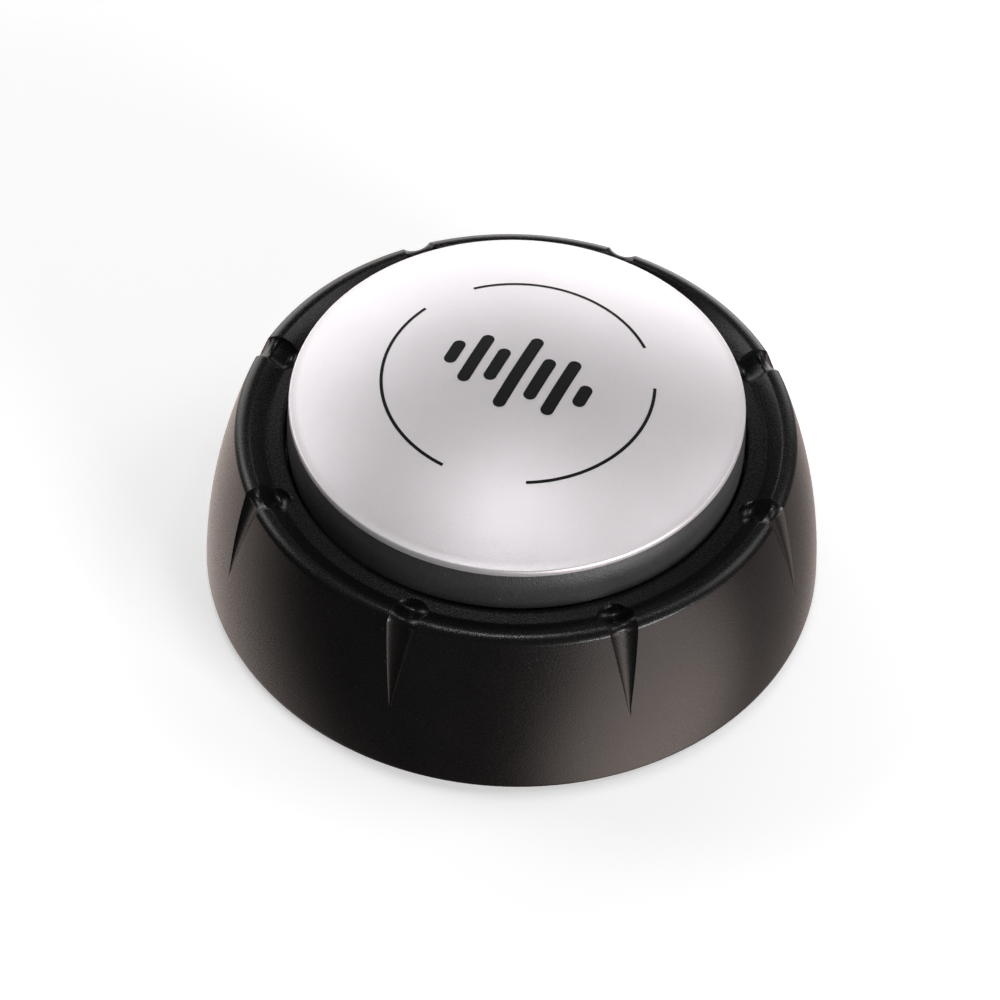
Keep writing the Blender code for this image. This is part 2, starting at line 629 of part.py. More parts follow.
# ---- Base plate and what it holds ----
def make_base_plate():
    """Floor of the case: battery tub, grille, screw and foot seats."""
    plate = cylinders("base_plate", [(0, 0)], PLATE_RADIUS, PLATE_BOTTOM, PLATE_TOP,
                      "black_plastic", steps=FINE_STEPS)
    below = PLATE_BOTTOM - 1.0 * MM
    outer_x = TUB_HALF_X + DOOR_LEDGE + TUB_WALL
    outer_y = (TUB_Y[0] - DOOR_LEDGE - TUB_WALL, TUB_Y[1] + DOOR_LEDGE + TUB_WALL)
    in_plate = PLATE_TOP - 0.5 * MM
    tub = boxes("tub_block", [(-outer_x, outer_x, *outer_y, in_plate, TUB_TOP)])
    screw_block = boxes("door_screw_block", [(-SCREW_BLOCK_HALF_X, SCREW_BLOCK_HALF_X,
                                              outer_y[1] - 0.5 * MM, SCREW_BLOCK_END_Y,
                                              in_plate, SCREW_BLOCK_TOP)])
    lug_places = [(-SPEAKER_SCREW_X, SPEAKER_Y), (SPEAKER_SCREW_X, SPEAKER_Y)]
    lugs = cylinders("speaker_lugs", lug_places, LUG_RADIUS, in_plate, LUG_TOP)
    join(plate, tub, screw_block, lugs)
    inside = boxes("tub_inside", [(-TUB_HALF_X, TUB_HALF_X, *TUB_Y, below, TUB_CEILING)])
    opening_x = TUB_HALF_X + DOOR_LEDGE
    opening = boxes("door_opening", [(-opening_x, opening_x, TUB_Y[0] - DOOR_LEDGE,
                                      TUB_Y[1] + DOOR_LEDGE, below, PLATE_TOP)])
    ear = EAR_HALF_X + GAP
    ear_room = boxes("ear_room", [(-ear, ear, TUB_Y[1], EAR_END_Y + GAP, below, PLATE_TOP)])
    half = TONGUE_WIDTH / 2 + GAP
    pocket_y = (TUB_Y[0] - DOOR_LEDGE - TONGUE_REACH - GAP, TUB_Y[0] + 0.1 * MM)
    pockets = boxes("tongue_pockets", [(x - half, x + half, *pocket_y, *POCKET_Z)
                                       for x in (-TONGUE_X, TONGUE_X)])
    slot_x = (TUB_HALF_X - 0.2 * MM, outer_x + 0.2 * MM)
    slot_half = TAB_HALF_WIDTH + GAP
    slots = boxes("tab_slots", [(*slot_x, y - slot_half, y + slot_half, TAB_Z - GAP,
                                 TAB_Z + CONTACT_THICKNESS + GAP) for y in CELL_Y])
    cut(plate, inside, opening, ear_room, pockets, slots)
    places = ring_places(CASE_BOSS_RING, CASE_BOSS_ANGLES)
    counterbore_top = PLATE_BOTTOM + COUNTERBORE_DEPTH
    cut(plate,
        cylinders("plate_screw_holes", places, PILOT_RADIUS, below, PLATE_TOP + 1.0 * MM,
                  steps=12),
        cylinders("plate_counterbores", places, COUNTERBORE_RADIUS, below, counterbore_top),
        cylinders("foot_seats", foot_places(), FOOT_RADIUS + GAP, below,
                  FOOT_HEIGHT + GAP),
        cylinders("door_pilot", [(0, DOOR_SCREW_Y)], DOOR_PILOT_RADIUS, PLATE_TOP - 0.2 * MM,
                  DOOR_PILOT_TOP, steps=12),
        cylinders("lug_pilots", lug_places, PILOT_RADIUS, PLATE_TOP, LUG_TOP + 0.8 * MM,
                  steps=12),
        grille_cutter(below))
    return plate


def grille_cutter(below):
    """Parallel slots in front of the loudspeaker, shorter towards the sides."""
    corners = []
    for i in range(GRILLE_SLOTS):
        offset = (i - (GRILLE_SLOTS - 1) / 2) * GRILLE_PITCH
        half = math.sqrt(GRILLE_RADIUS ** 2 - offset ** 2)
        corners.append((-half, half, SPEAKER_Y + offset - GRILLE_SLOT / 2,
                        SPEAKER_Y + offset + GRILLE_SLOT / 2, below, PLATE_TOP + 1.0 * MM))
    return boxes("grille_slots", corners)


def foot_places():
    """Middles of the rubber feet."""
    step = 360 / FOOT_COUNT
    return ring_places(FOOT_RING, [step * i + step / 4 for i in range(FOOT_COUNT)])


def make_feet():
    """Rubber feet in shallow seats under the base plate."""
    soft = 0.3 * MM
    profile = [(0, FOOT_HEIGHT), (FOOT_RADIUS, FOOT_HEIGHT), (FOOT_RADIUS, soft),
               (FOOT_RADIUS - soft, 0), (0, 0)]
    for number, (x, y) in enumerate(foot_places(), start=1):
        turned(f"foot_{number}", profile, "rubber", steps=20, location=(x, y, 0))


def make_door():
    """Battery door with two tongues on one edge and a screw ear on the other."""
    half_x = TUB_HALF_X + DOOR_LEDGE - GAP
    near = TUB_Y[0] - DOOR_LEDGE + GAP
    far = TUB_Y[1] + DOOR_LEDGE - GAP
    top = PLATE_BOTTOM + DOOR_THICKNESS
    door = boxes("battery_door", [(-half_x, half_x, near, far, PLATE_BOTTOM, top)],
                 "black_plastic")
    half = TONGUE_WIDTH / 2
    tongues = boxes("door_tongues", [(x - half, x + half, near - TONGUE_REACH, near + 1.0 * MM,
                                      top - TONGUE_THICKNESS, top)
                                     for x in (-TONGUE_X, TONGUE_X)])
    ear = boxes("door_ear", [(-EAR_HALF_X, EAR_HALF_X, far - 1.0 * MM, EAR_END_Y,
                              PLATE_BOTTOM, top)])
    join(door, tongues, ear)
    place = [(0, DOOR_SCREW_Y)]
    seat = PLATE_BOTTOM + HEAD_HEIGHT + GAP
    grooves = [(-FINGER_GROOVE_HALF_X, FINGER_GROOVE_HALF_X, y, y + FINGER_GROOVE_WIDTH,
                PLATE_BOTTOM - 0.5 * MM, PLATE_BOTTOM + FINGER_GROOVE_DEPTH)
               for y in FINGER_GROOVES_Y]
    cut(door,
        cylinders("door_screw_hole", place, PILOT_RADIUS, PLATE_BOTTOM - 1.0 * MM,
                  top + 1.0 * MM, steps=12),
        cylinders("door_screw_seat", place, COUNTERBORE_RADIUS, PLATE_BOTTOM - 1.0 * MM, seat),
        boxes("door_finger_grooves", grooves))
    screws("door_screw", place, PLATE_BOTTOM, DOOR_SCREW_LENGTH)


def make_case_screws():
    """Screws that hold the two halves of the case and the carrier plate."""
    places = ring_places(CASE_BOSS_RING, CASE_BOSS_ANGLES)
    screws("case_screw", places, PLATE_BOTTOM + 0.1 * MM, CASE_SCREW_LENGTH)
    places = ring_places(CARRIER_BOSS_RING, CARRIER_BOSS_ANGLES)
    screws("carrier_screw", places, CARRIER_BOTTOM - GAP - HEAD_HEIGHT, CARRIER_SCREW_LENGTH)


def make_battery(name, y, direction):
    """One AAA cell along X, with its raised contact towards the given direction."""
    corner = 0.4 * MM
    body = CELL_LENGTH - NUB_LENGTH
    profile = [(0, CELL_LENGTH), (NUB_RADIUS, CELL_LENGTH), (NUB_RADIUS, body),
               (CELL_RADIUS - corner, body), (CELL_RADIUS, body - corner), (CELL_RADIUS, corner),
               (CELL_RADIUS - corner, 0), (0, 0)]
    flat_end = direction * (contact_face() - GAP - CELL_LENGTH)
    cell = turned(name, profile, "cell_jacket", steps=24, location=(flat_end, y, CELL_Z))
    cell.rotation_euler = (0, direction * math.pi / 2, 0)
    return cell


def contact_face():
    """Distance from the middle of the tub to a contact plate's inner face."""
    return TUB_HALF_X - GAP - CONTACT_THICKNESS


def make_contacts():
    """Contact plates at the ends of the tub, and the cells' contact springs."""
    inner = contact_face()
    outer = inner + CONTACT_THICKNESS
    half = CONTACT_HALF_WIDTH
    low = CONTACT_LOW
    high = TUB_CEILING - GAP
    for name, y in (("positive_contact", CELL_Y[0]), ("negative_contact", CELL_Y[1])):
        plate = boxes(name, [(inner, outer, y - half, y + half, low, high)], "steel")
        join(plate, boxes(name + "_tab", [(inner, TAB_END_X, y - TAB_HALF_WIDTH,
                                           y + TAB_HALF_WIDTH, TAB_Z,
                                           TAB_Z + CONTACT_THICKNESS)]))
    boxes("bridge_contact", [(-outer, -inner, CELL_Y[0] - half, CELL_Y[1] + half, low, high)],
          "steel")
    thin = CONTACT_SPRING_WIRE
    start = inner - GAP - thin
    end = inner - GAP - (2 * inner - 3 * GAP - CELL_LENGTH - thin)
    for number, (y, side) in enumerate(((CELL_Y[0], -1), (CELL_Y[1], 1)), start=1):
        points = coil_points((y, CELL_Z), *CONTACT_SPRING_RADII, side * start, side * end,
                             CONTACT_SPRING_TURNS, along="X")
        wire(f"contact_spring_{number}", points, thin, "steel")


def make_speaker():
    """Loudspeaker: foam ring, basket, magnet and cone with its voice coil."""
    place = (0, SPEAKER_Y, 0)
    low = PLATE_TOP + GAP
    gasket = [(SPEAKER_RADIUS, GASKET_TOP), (SPEAKER_RADIUS, low), (GASKET_INNER_RADIUS, low),
              (GASKET_INNER_RADIUS, GASKET_TOP)]
    turned("speaker_gasket", gasket, "foam", steps=24, location=place)
    turned("speaker_frame", in_millimetres(BASKET_PROFILE), "steel", steps=24, location=place)
    turned("speaker_magnet", in_millimetres(MAGNET_PROFILE), "steel", steps=24, location=place)
    turned("speaker_cone", in_millimetres(CONE_PROFILE), "paper_cone", steps=24, location=place)
    places = [(-SPEAKER_SCREW_X, SPEAKER_Y), (SPEAKER_SCREW_X, SPEAKER_Y)]
    head = SPEAKER_RIM_TOP + GAP + HEAD_HEIGHT
    screws("speaker_screw", places, head, SPEAKER_SCREW_LENGTH, points_up=False)


def make_wires():
    """Short leads inside the case."""
    for name, (finish_name, corners) in WIRE_ROUTES.items():
        wire(name, smooth_route(corners), WIRE_RADIUS, finish_name)


def main():
    """Build every piece of the buzzer."""
    make_housing()
    make_button_cap()
    make_face_disc()
    make_springs()
    make_carrier()
    make_board()
    make_switch()
    make_base_plate()
    make_feet()
    make_door()
    make_case_screws()
    make_battery("battery_1", CELL_Y[0], 1)
    make_battery("battery_2", CELL_Y[1], -1)
    make_contacts()
    make_speaker()
    make_wires()


main()
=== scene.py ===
"""Quiz buzzer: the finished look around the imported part.

The scene is in metres, +Z up. Lengths here are in millimetres, and MM scales them, except where
a comment says metres. Angles of arcs, rings and the camera are in degrees.
"""
import json
import math

import bpy
from mathutils import Matrix, Vector


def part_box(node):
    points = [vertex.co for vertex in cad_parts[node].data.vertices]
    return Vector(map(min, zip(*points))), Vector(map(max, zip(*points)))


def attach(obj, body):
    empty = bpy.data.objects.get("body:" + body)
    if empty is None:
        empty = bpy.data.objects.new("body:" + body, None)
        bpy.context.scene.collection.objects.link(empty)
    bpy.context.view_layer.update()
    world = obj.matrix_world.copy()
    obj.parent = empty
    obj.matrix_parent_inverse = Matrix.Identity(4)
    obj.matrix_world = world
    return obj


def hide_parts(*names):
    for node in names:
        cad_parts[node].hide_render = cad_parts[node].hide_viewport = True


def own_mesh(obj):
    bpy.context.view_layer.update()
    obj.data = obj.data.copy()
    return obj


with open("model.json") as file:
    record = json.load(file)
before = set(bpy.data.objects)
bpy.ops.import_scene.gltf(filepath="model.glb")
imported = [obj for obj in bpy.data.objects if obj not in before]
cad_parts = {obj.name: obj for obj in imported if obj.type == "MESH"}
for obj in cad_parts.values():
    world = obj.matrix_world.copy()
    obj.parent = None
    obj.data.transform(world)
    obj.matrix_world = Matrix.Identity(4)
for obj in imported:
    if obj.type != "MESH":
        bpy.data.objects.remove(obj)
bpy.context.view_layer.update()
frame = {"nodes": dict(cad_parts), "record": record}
MM = 0.001

# ---- Camera, at the photograph's angle ----
CAMERA_LENS = 162.0
CAMERA_ELEVATION = 47.91
CAMERA_ROLL = 1.99
CAMERA_AZIMUTH = -0.57
CAMERA_DISTANCE = 702.03 * MM
CAMERA_SIDE = -2.086 * MM
CAMERA_RISE = 8.019 * MM

# ---- Outside sizes, shared with the part ----
BASE_RADIUS = 47.5
WALL_BOTTOM = 0.6
WALL_TOP = 27.1
WALL_TAPER = 4.75
WALL_BELLY = 1.05
BEAD_FOOT_Z = 27.31               # where the bead meets the wall
DECK_Z = 26.8                     # at the bead; the deck rises slightly towards the button
DECK_SLOPE = 0.12
DECK_EDGE = 37.7                  # radius at which the deck's slope ends
OPENING_RADIUS = 35.05
NOTCH_COUNT = 8
NOTCH_TIP_Z = 12.4
FACE_RADIUS = 34.4
FACE_EDGE_Z = 34.4
FACE_RISE = 6.4
FACE_THICKNESS = 0.9
DOME_RADIUS = (FACE_RADIUS ** 2 + FACE_RISE ** 2) / (2 * FACE_RISE)
DOME_TOP = FACE_EDGE_Z + FACE_RISE

# ---- Inside sizes, shared with the part ----
CASE_SCREWS = (41.0, (0, 90, 180, 270))           # ring radius and angles
CARRIER_SCREWS = (39.6, (30, 150, 210, 330))
FEET = (39.5, (22.5, 112.5, 202.5, 292.5))
RETURN_SPRINGS = (26.0, (30, 150, 270))
SHANK_HOLE = 1.2                  # radius of the holes for the screws' shanks
CELL_LINES = (8.4, 19.6)          # y of each cell's axis
CELL_Z = 8.45
SPEAKER_PLACE = (0, -19.8)
SPEAKER_SCREWS = [(-18.7, -19.8), (18.7, -19.8)]
DOOR_SCREW = [(0, 30.0)]
TONGUE_LINES = (-12, 12)          # x of the door's two tongues


# ---- Materials ----
class Nodes:
    """Short calls for one material's node tree."""

    def __init__(self, name):
        self.material = bpy.data.materials.new(name)
        self.material.use_nodes = True
        self.tree = self.material.node_tree
        self.shader = self.tree.nodes["Principled BSDF"]
        self.place = self.add("ShaderNodeTexCoord").outputs["Object"]

    def add(self, kind, **sockets):
        """Add a node and set its inputs by name (spaces written as _)."""
        node = self.tree.nodes.new(kind)
        for key, value in sockets.items():
            self.put(node.inputs[key.replace("_", " ")], value)
        return node

    def put(self, socket, value):
        """Set a socket to a value, or link another socket to it."""
        if isinstance(value, bpy.types.NodeSocket):
            self.tree.links.new(value, socket)
        else:
            socket.default_value = value

    def noise(self, size_mm, detail, roughness=0.5):
        """Noise whose features are about size_mm across."""
        node = self.add("ShaderNodeTexNoise", Vector=self.place, Scale=1 / (size_mm * MM),
                        Detail=detail, Roughness=roughness)
        return node.outputs["Fac"]

    def ranged(self, value, low, high, to_low, to_high):
        """Map a value from one range to another."""
        node = self.add("ShaderNodeMapRange", Value=value, From_Min=low, From_Max=high,
                        To_Min=to_low, To_Max=to_high)
        return node.outputs["Result"]

    def mix(self, share, first, second):
        """Mix two colours."""
        node = self.tree.nodes.new("ShaderNodeMix")
        node.data_type = "RGBA"
        self.put(node.inputs["Factor"], share)
        # By number, as the node has sockets named A, B and Result for every type of value.
        colour_a, colour_b, colour_out = node.inputs[6], node.inputs[7], node.outputs[2]
        self.put(colour_a, first)
        self.put(colour_b, second)
        return colour_out

    def product(self, first, second):
        """Multiply two numbers."""
        node = self.tree.nodes.new("ShaderNodeMath")
        node.operation = "MULTIPLY"
        self.put(node.inputs[0], first)
        self.put(node.inputs[1], second)
        return node.outputs[0]

    def bump(self, height, depth_mm):
        """Relief from a height."""
        node = self.add("ShaderNodeBump", Height=height, Distance=depth_mm * MM, Strength=1.0)
        return node.outputs["Normal"]


def rgba(colour, scale=1.0):
    """A colour with its alpha."""
    return (*(min(1.0, part * scale) for part in colour), 1.0)


DRIFT_SIZE = 9.0                  # patches in which the colour drifts
ROUGHNESS_SWING = 0.08            # the grain makes the surface rougher and smoother by this
SPECK_SPACING = 1.1
SPECK_PATCH = 1.7                 # patches in which specks are found
SPECK_COLOUR = (0.35, 0.35, 0.36)


def moulded(name, colour, roughness, specular=0.5, grain=0.2, depth=0.02, spread=0.15,
            specks=0.0, metallic=0.0, fleck=0.3):
    """Moulded or painted surface: fine grain, slow drift in colour, and a few pale specks."""
    nodes = Nodes(name)
    shader = nodes.shader
    drift = nodes.noise(DRIFT_SIZE, 3.0)
    fine = nodes.noise(grain, 2.0, 0.6)
    base = nodes.mix(nodes.ranged(drift, 0.3, 0.7, 0.0, 1.0), rgba(colour, 1 - spread),
                     rgba(colour, 1 + spread))
    base = nodes.mix(nodes.ranged(fine, 0.55, 0.85, 0.0, 0.5), base, rgba(colour, 1.0 + fleck))
    if specks:
        cells = nodes.add("ShaderNodeTexVoronoi", Vector=nodes.place,
                          Scale=1 / (SPECK_SPACING * MM))
        spot = nodes.ranged(cells.outputs["Distance"], 0.05, 0.09, 1.0, 0.0)
        rare = nodes.ranged(nodes.noise(SPECK_PATCH, 0.0), 0.60, 0.66, 0.0, specks)
        base = nodes.mix(nodes.product(spot, rare), base, rgba(SPECK_COLOUR))
    nodes.put(shader.inputs["Base Color"], base)
    nodes.put(shader.inputs["Roughness"],
              nodes.ranged(fine, 0.3, 0.7, roughness - ROUGHNESS_SWING,
                           roughness + ROUGHNESS_SWING))
    nodes.put(shader.inputs["Normal"], nodes.bump(fine, depth))
    shader.inputs["Specular IOR Level"].default_value = specular
    shader.inputs["Metallic"].default_value = metallic
    return nodes.material


# Each material: its colour, roughness and, by name, the size and depth of its grain in
# millimetres, the spread of its colour, and how strong its specks and flecks are.
MATERIALS = {
    "black_plastic": moulded("black_plastic_look", (0.0052, 0.0045, 0.0044), 0.29,
                             specular=0.30, grain=0.24, depth=0.022, specks=0.12, fleck=0.5),
    "grey_plastic": moulded("grey_plastic_look", (0.030, 0.029, 0.030), 0.50,
                            specular=0.40, grain=0.30, depth=0.09, specks=0.6, fleck=1.2),
    "silver_face": moulded("silver_face_look", (0.68, 0.648, 0.668), 0.46, grain=0.20,
                           depth=0.018, spread=0.02, metallic=0.7, fleck=0.4),
    "inner_plastic": moulded("inner_plastic_look", (0.030, 0.030, 0.032), 0.55, grain=0.3),
    "rubber": moulded("rubber_look", (0.035, 0.034, 0.033), 0.85, specular=0.3, grain=0.15,
                      depth=0.02),
    "steel": moulded("steel_look", (0.60, 0.60, 0.62), 0.30, grain=0.3, depth=0.003,
                     metallic=1.0),
    "board": moulded("board_look", (0.03, 0.16, 0.07), 0.40, grain=0.5, depth=0.004),
    "epoxy": moulded("epoxy_look", (0.015, 0.015, 0.015), 0.25, grain=0.6, depth=0.01),
    "ink": moulded("ink_look", (0.004, 0.004, 0.004), 0.60, specular=0.12, grain=0.3,
                   depth=0.002),
    "cell_jacket": moulded("cell_jacket_look", (0.10, 0.22, 0.40), 0.30, grain=0.6,
                           depth=0.002),
    "paper_cone": moulded("paper_cone_look", (0.05, 0.05, 0.05), 0.85, grain=0.25, depth=0.03),
    "foam": moulded("foam_look", (0.06, 0.06, 0.06), 0.95, specular=0.1, grain=0.4, depth=0.12),
    "wire_red": moulded("wire_red_look", (0.45, 0.02, 0.02), 0.42, grain=0.6, depth=0.003),
    "wire_black": moulded("wire_black_look", (0.02, 0.02, 0.02), 0.42, grain=0.6, depth=0.003),
    "switch_white": moulded("switch_white_look", (0.75, 0.75, 0.72), 0.38, grain=0.4,
                            depth=0.003),
    "resistor_tan": moulded("resistor_tan_look", (0.55, 0.42, 0.25), 0.50, grain=0.2,
                            depth=0.005),
}


# ---- Mesh tools ----
def new_object(name, verts, faces, material=None):
    """An object from vertices in millimetres."""
    mesh = bpy.data.meshes.new(name)
    mesh.from_pydata([(x * MM, y * MM, z * MM) for x, y, z in verts], [], faces)
    mesh.update()
    item = bpy.data.objects.new(name, mesh)
    bpy.context.scene.collection.objects.link(item)
    if material:
        mesh.materials.append(MATERIALS[material])
    return item


def smooth(item, angle=40.0):
    """Smooth shading that keeps corners sharper than the angle."""
    item.data.shade_smooth()
    item.data.set_sharp_from_angle(angle=math.radians(angle))
    return item


def crisp(item, angle=50.0):
    """Smooth shading in which large flat faces stay flat up to their bevels."""
    smooth(item, angle)
    modifier = item.modifiers.new("normals", "WEIGHTED_NORMAL")
    modifier.keep_sharp = True
    return applied(item)


def installed(item, body, slot, *nodes):
    """Hang a piece on its body in place of the part's own nodes."""
    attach(item, body)
    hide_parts(*nodes)
    return item


def turned(name, profile, material=None, steps=96, centre=(0, 0)):
    """Turn a closed profile of (radius, z) points about Z; points at radius 0 become poles."""
    verts, rings = [], []
    for radius, z in profile:
        if radius == 0:
            rings.append([len(verts)])
            verts.append((centre[0], centre[1], z))
            continue
        rings.append(list(range(len(verts), len(verts) + steps)))
        for i in range(steps):
            angle = math.tau * i / steps
            verts.append((centre[0] + radius * math.cos(angle),
                          centre[1] + radius * math.sin(angle), z))
    faces = []
    pairs = list(zip(rings, rings[1:] + rings[:1]))
    for upper, lower in pairs:
        for i in range(steps):
            k = (i + 1) % steps
            if len(upper) == 1 and len(lower) == 1:
                continue
            if len(upper) == 1:
                faces.append((upper[0], lower[i], lower[k]))
            elif len(lower) == 1:
                faces.append((upper[i], lower[0], upper[k]))
            else:
                faces.append((upper[i], lower[i], lower[k], upper[k]))
    return new_object(name, verts, faces, material)


def arc(centre, radius, start, end, count):
    """Points of an arc in a profile, angles in degrees from the outward direction."""
    angles = [math.radians(start + (end - start) * i / (count - 1)) for i in range(count)]
    return [(centre[0] + radius * math.cos(a), centre[1] + radius * math.sin(a))
            for a in angles]


def ring_places(radius, angles):
    """Points on a circle about Z, one for each angle in degrees."""
    return [(radius * math.cos(math.radians(a)), radius * math.sin(math.radians(a)))
            for a in angles]


def cylinders(places, radius, low, high, steps=48):
    """Upright cylinders in one mesh: a Boolean tool, or the start of a piece."""
    verts, faces = [], []
    for x, y in places:
        first = len(verts)
        for z in (low, high):
            for i in range(steps):
                angle = math.tau * i / steps
                verts.append((x + radius * math.cos(angle), y + radius * math.sin(angle), z))
        faces.append(tuple(first + i for i in reversed(range(steps))))
        faces.append(tuple(first + steps + i for i in range(steps)))
        for i in range(steps):
            k = (i + 1) % steps
            faces.append((first + i, first + k, first + steps + k, first + steps + i))
    return new_object("tool", verts, faces)


def boxes(corners):
    """Boxes given as (x0, x1, y0, y1, z0, z1) in one mesh: a tool, or the start of a piece."""
    verts, faces = [], []
    for x0, x1, y0, y1, z0, z1 in corners:
        first = len(verts)
        verts += [(x, y, z) for z in (z0, z1) for x, y in ((x0, y0), (x1, y0), (x1, y1), (x0, y1))]
        sides = ((3, 2, 1, 0), (4, 5, 6, 7), (0, 1, 5, 4), (1, 2, 6, 5), (2, 3, 7, 6), (3, 0, 4, 7))
        faces += [tuple(first + i for i in side) for side in sides]
    return new_object("tool", verts, faces)


def applied(item):
    """Turn a piece's modifiers into its mesh."""
    graph = bpy.context.evaluated_depsgraph_get()
    mesh = bpy.data.meshes.new_from_object(item.evaluated_get(graph))
    item.modifiers.clear()
    item.data = mesh
    return item


def boolean(item, operation, *tools):
    """Join tools to a piece (UNION) or cut them out of it (DIFFERENCE)."""
    for tool in tools:
        modifier = item.modifiers.new("boolean", "BOOLEAN")
        modifier.operation = operation
        modifier.object = tool
        applied(item)
        bpy.data.objects.remove(tool)
    return item


def bevelled(item, width, segments=2, angle=40.0):
    """Round a piece's sharp edges."""
    modifier = item.modifiers.new("bevel", "BEVEL")
    modifier.width = width * MM
    modifier.segments = segments
    modifier.limit_method = "ANGLE"
    modifier.angle_limit = math.radians(angle)
    return applied(item)


# ---- Housing ----
SCOOP_START = 36.35               # where a notch's round scoop begins on the deck
SCOOP_HALF = 2.75                 # half of its width
SCOOP_DEPTH = 1.05
SCOOP_DEEPEST = 38.1              # radius at which it is deepest
THROAT_HALF = 2.6                 # half of the notch's width where it climbs the bead
GROOVE_HALF = 2.2                 # half of the groove's width at the top of the wall
GROOVE_DEPTH = 0.9
GROOVE_TOP_Z = 27.2               # where the groove has its full width and depth
CREST_DEPTH = 0.72                # the groove is shallower over the bead
LIP_ROUND = 0.4                   # round at the opening
PLAIN_DECK = 35.9                 # radius of a row between the opening and the scoops
FILLET_START = 37.721             # radius at which the deck turns up into the bead's flank
FILLET_RADIUS = 0.8
FLANK_ANGLE = 32.0
FLANK_ROWS = 7
WALL_LEAN = 18.0                  # the bead runs into the wall at this angle
# The bead's three rounds from the wall inwards: radius, the angle it ends at, points.
BEAD_ROUNDS = ((0.9, 40, 5), (2.2, 95, 11), (1.0, 90 + FLANK_ANGLE, 5))
WALL_ROWS_START = 26.8
GROOVE_ROW_STEP = 0.45            # height between rows along the grooves, and below them
PLAIN_ROW_STEP = 1.1
TIP_MARGIN = 0.5                  # close rows go on this far below a groove's tip
FOOT_MARGIN = 0.6                 # the wall's rows end this far above its foot
FOOT_ROUND = 0.5
WALL_THICKNESS = 2.4
CEILING_Z = 24.2
SKIRT_SEAT = [(45.3, 0.6), (45.1, 0.8), (45.1, 3.3), (44.0, 3.3), (44.0, 9.0)]
COLLAR = [(36.75, CEILING_Z), (36.75, 22.7), (36.55, 22.5), (35.25, 22.5), (35.05, 22.7)]
# Bosses and the holes in them: radius, bottom, top.
CASE_BOSS = (3.2, 3.3, 18.0)
CASE_HOLE = (SHANK_HOLE, 3.0, 12.5)
CARRIER_BOSS = (2.6, 17.6, 24.7)
CARRIER_HOLE = (SHANK_HOLE, 17.3, 23.0)
# Columns of the skin: across a notch, as shares of its half width, and from its edge to the
# middle of the plain stretch beside it.
NOTCH_COLUMNS = [0.0, 0.14, 0.28, 0.42, 0.56, 0.70, 0.82, 0.92, 0.98, 1.0]
PLAIN_COLUMNS = [0.008, 0.03, 0.08, 0.16, 0.26, 0.37, 0.48, 0.59, 0.70, 0.80, 0.90]


def wall_radius(z):
    """Outside radius of the wall: tapered, with a slight belly."""
    t = z / WALL_TOP
    return BASE_RADIUS - WALL_TAPER * t + WALL_BELLY * 4 * t * (1 - t)


def blend(a, b, share):
    """Straight mix of two numbers."""
    return a + (b - a) * share


def scoop(radius):
    """Half width and depth of a notch on the deck and the bead's inner flank."""
    middle = SCOOP_START + SCOOP_HALF
    if radius <= SCOOP_START:
        return 0.0, 0.0
    if radius < middle:
        half = math.sqrt(SCOOP_HALF ** 2 - (middle - radius) ** 2)
    else:
        half = blend(SCOOP_HALF, THROAT_HALF, radius - middle)
    short = max(0.0, (SCOOP_DEEPEST - radius) / (SCOOP_DEEPEST - SCOOP_START))
    depth = SCOOP_DEPTH * (1 - short ** 2) ** 0.8
    return half, blend(depth, GROOVE_DEPTH, max(0.0, (radius - SCOOP_DEEPEST) / 2.0))


def deck_height(radius):
    """Height of the deck, which falls gently outwards."""
    return DECK_Z + DECK_SLOPE * max(0.0, DECK_EDGE - radius)


def bead_points():
    """The rim bead from its inner flank to the wall: a broad crest between two small rounds."""
    points = [(wall_radius(BEAD_FOOT_Z), BEAD_FOOT_Z)]
    turn = WALL_LEAN
    for radius, until, count in BEAD_ROUNDS:
        r, z = points[-1]
        centre = (r - radius * math.cos(math.radians(turn)),
                  z - radius * math.sin(math.radians(turn)))
        points += arc(centre, radius, turn, until, count)[1:]
        turn = until
    return points[::-1]


def deck_rows():
    """Rows from the opening over the deck and up the bead's inner flank."""
    lip = OPENING_RADIUS + LIP_ROUND
    rows = [(r, z, 0.0, 0.0) for r, z in
            arc((lip, deck_height(lip) - LIP_ROUND), LIP_ROUND, 180, 90, 5)]
    rows.append((PLAIN_DECK, deck_height(PLAIN_DECK), 0.0, 0.0))
    for turn in range(0, 64, 8):
        radius = SCOOP_START + SCOOP_HALF * (1 - math.cos(math.radians(turn)))
        rows.append((radius, deck_height(radius), *scoop(radius)))
    for r, z in arc((FILLET_START, DECK_Z + FILLET_RADIUS), FILLET_RADIUS, -90,
                    -90 + FLANK_ANGLE, 6):
        rows.append((r, z, *scoop(r)))
    start, end = rows[-1], bead_points()[0]
    for i in range(1, FLANK_ROWS):
        share = i / FLANK_ROWS
        r = blend(start[0], end[0], share)
        rows.append((r, blend(start[1], end[1], share), *scoop(r)))
    return rows


def bead_rows():
    """Rows over the bead, which the notches cross."""
    bead = bead_points()
    rows = []
    for i, (r, z) in enumerate(bead):
        share = i / (len(bead) - 1)
        dip = math.sin(math.pi * share)
        rows.append((r, z, blend(THROAT_HALF, GROOVE_HALF, min(1.0, 2 * share)),
                     GROOVE_DEPTH - (GROOVE_DEPTH - CREST_DEPTH) * dip))
    return rows


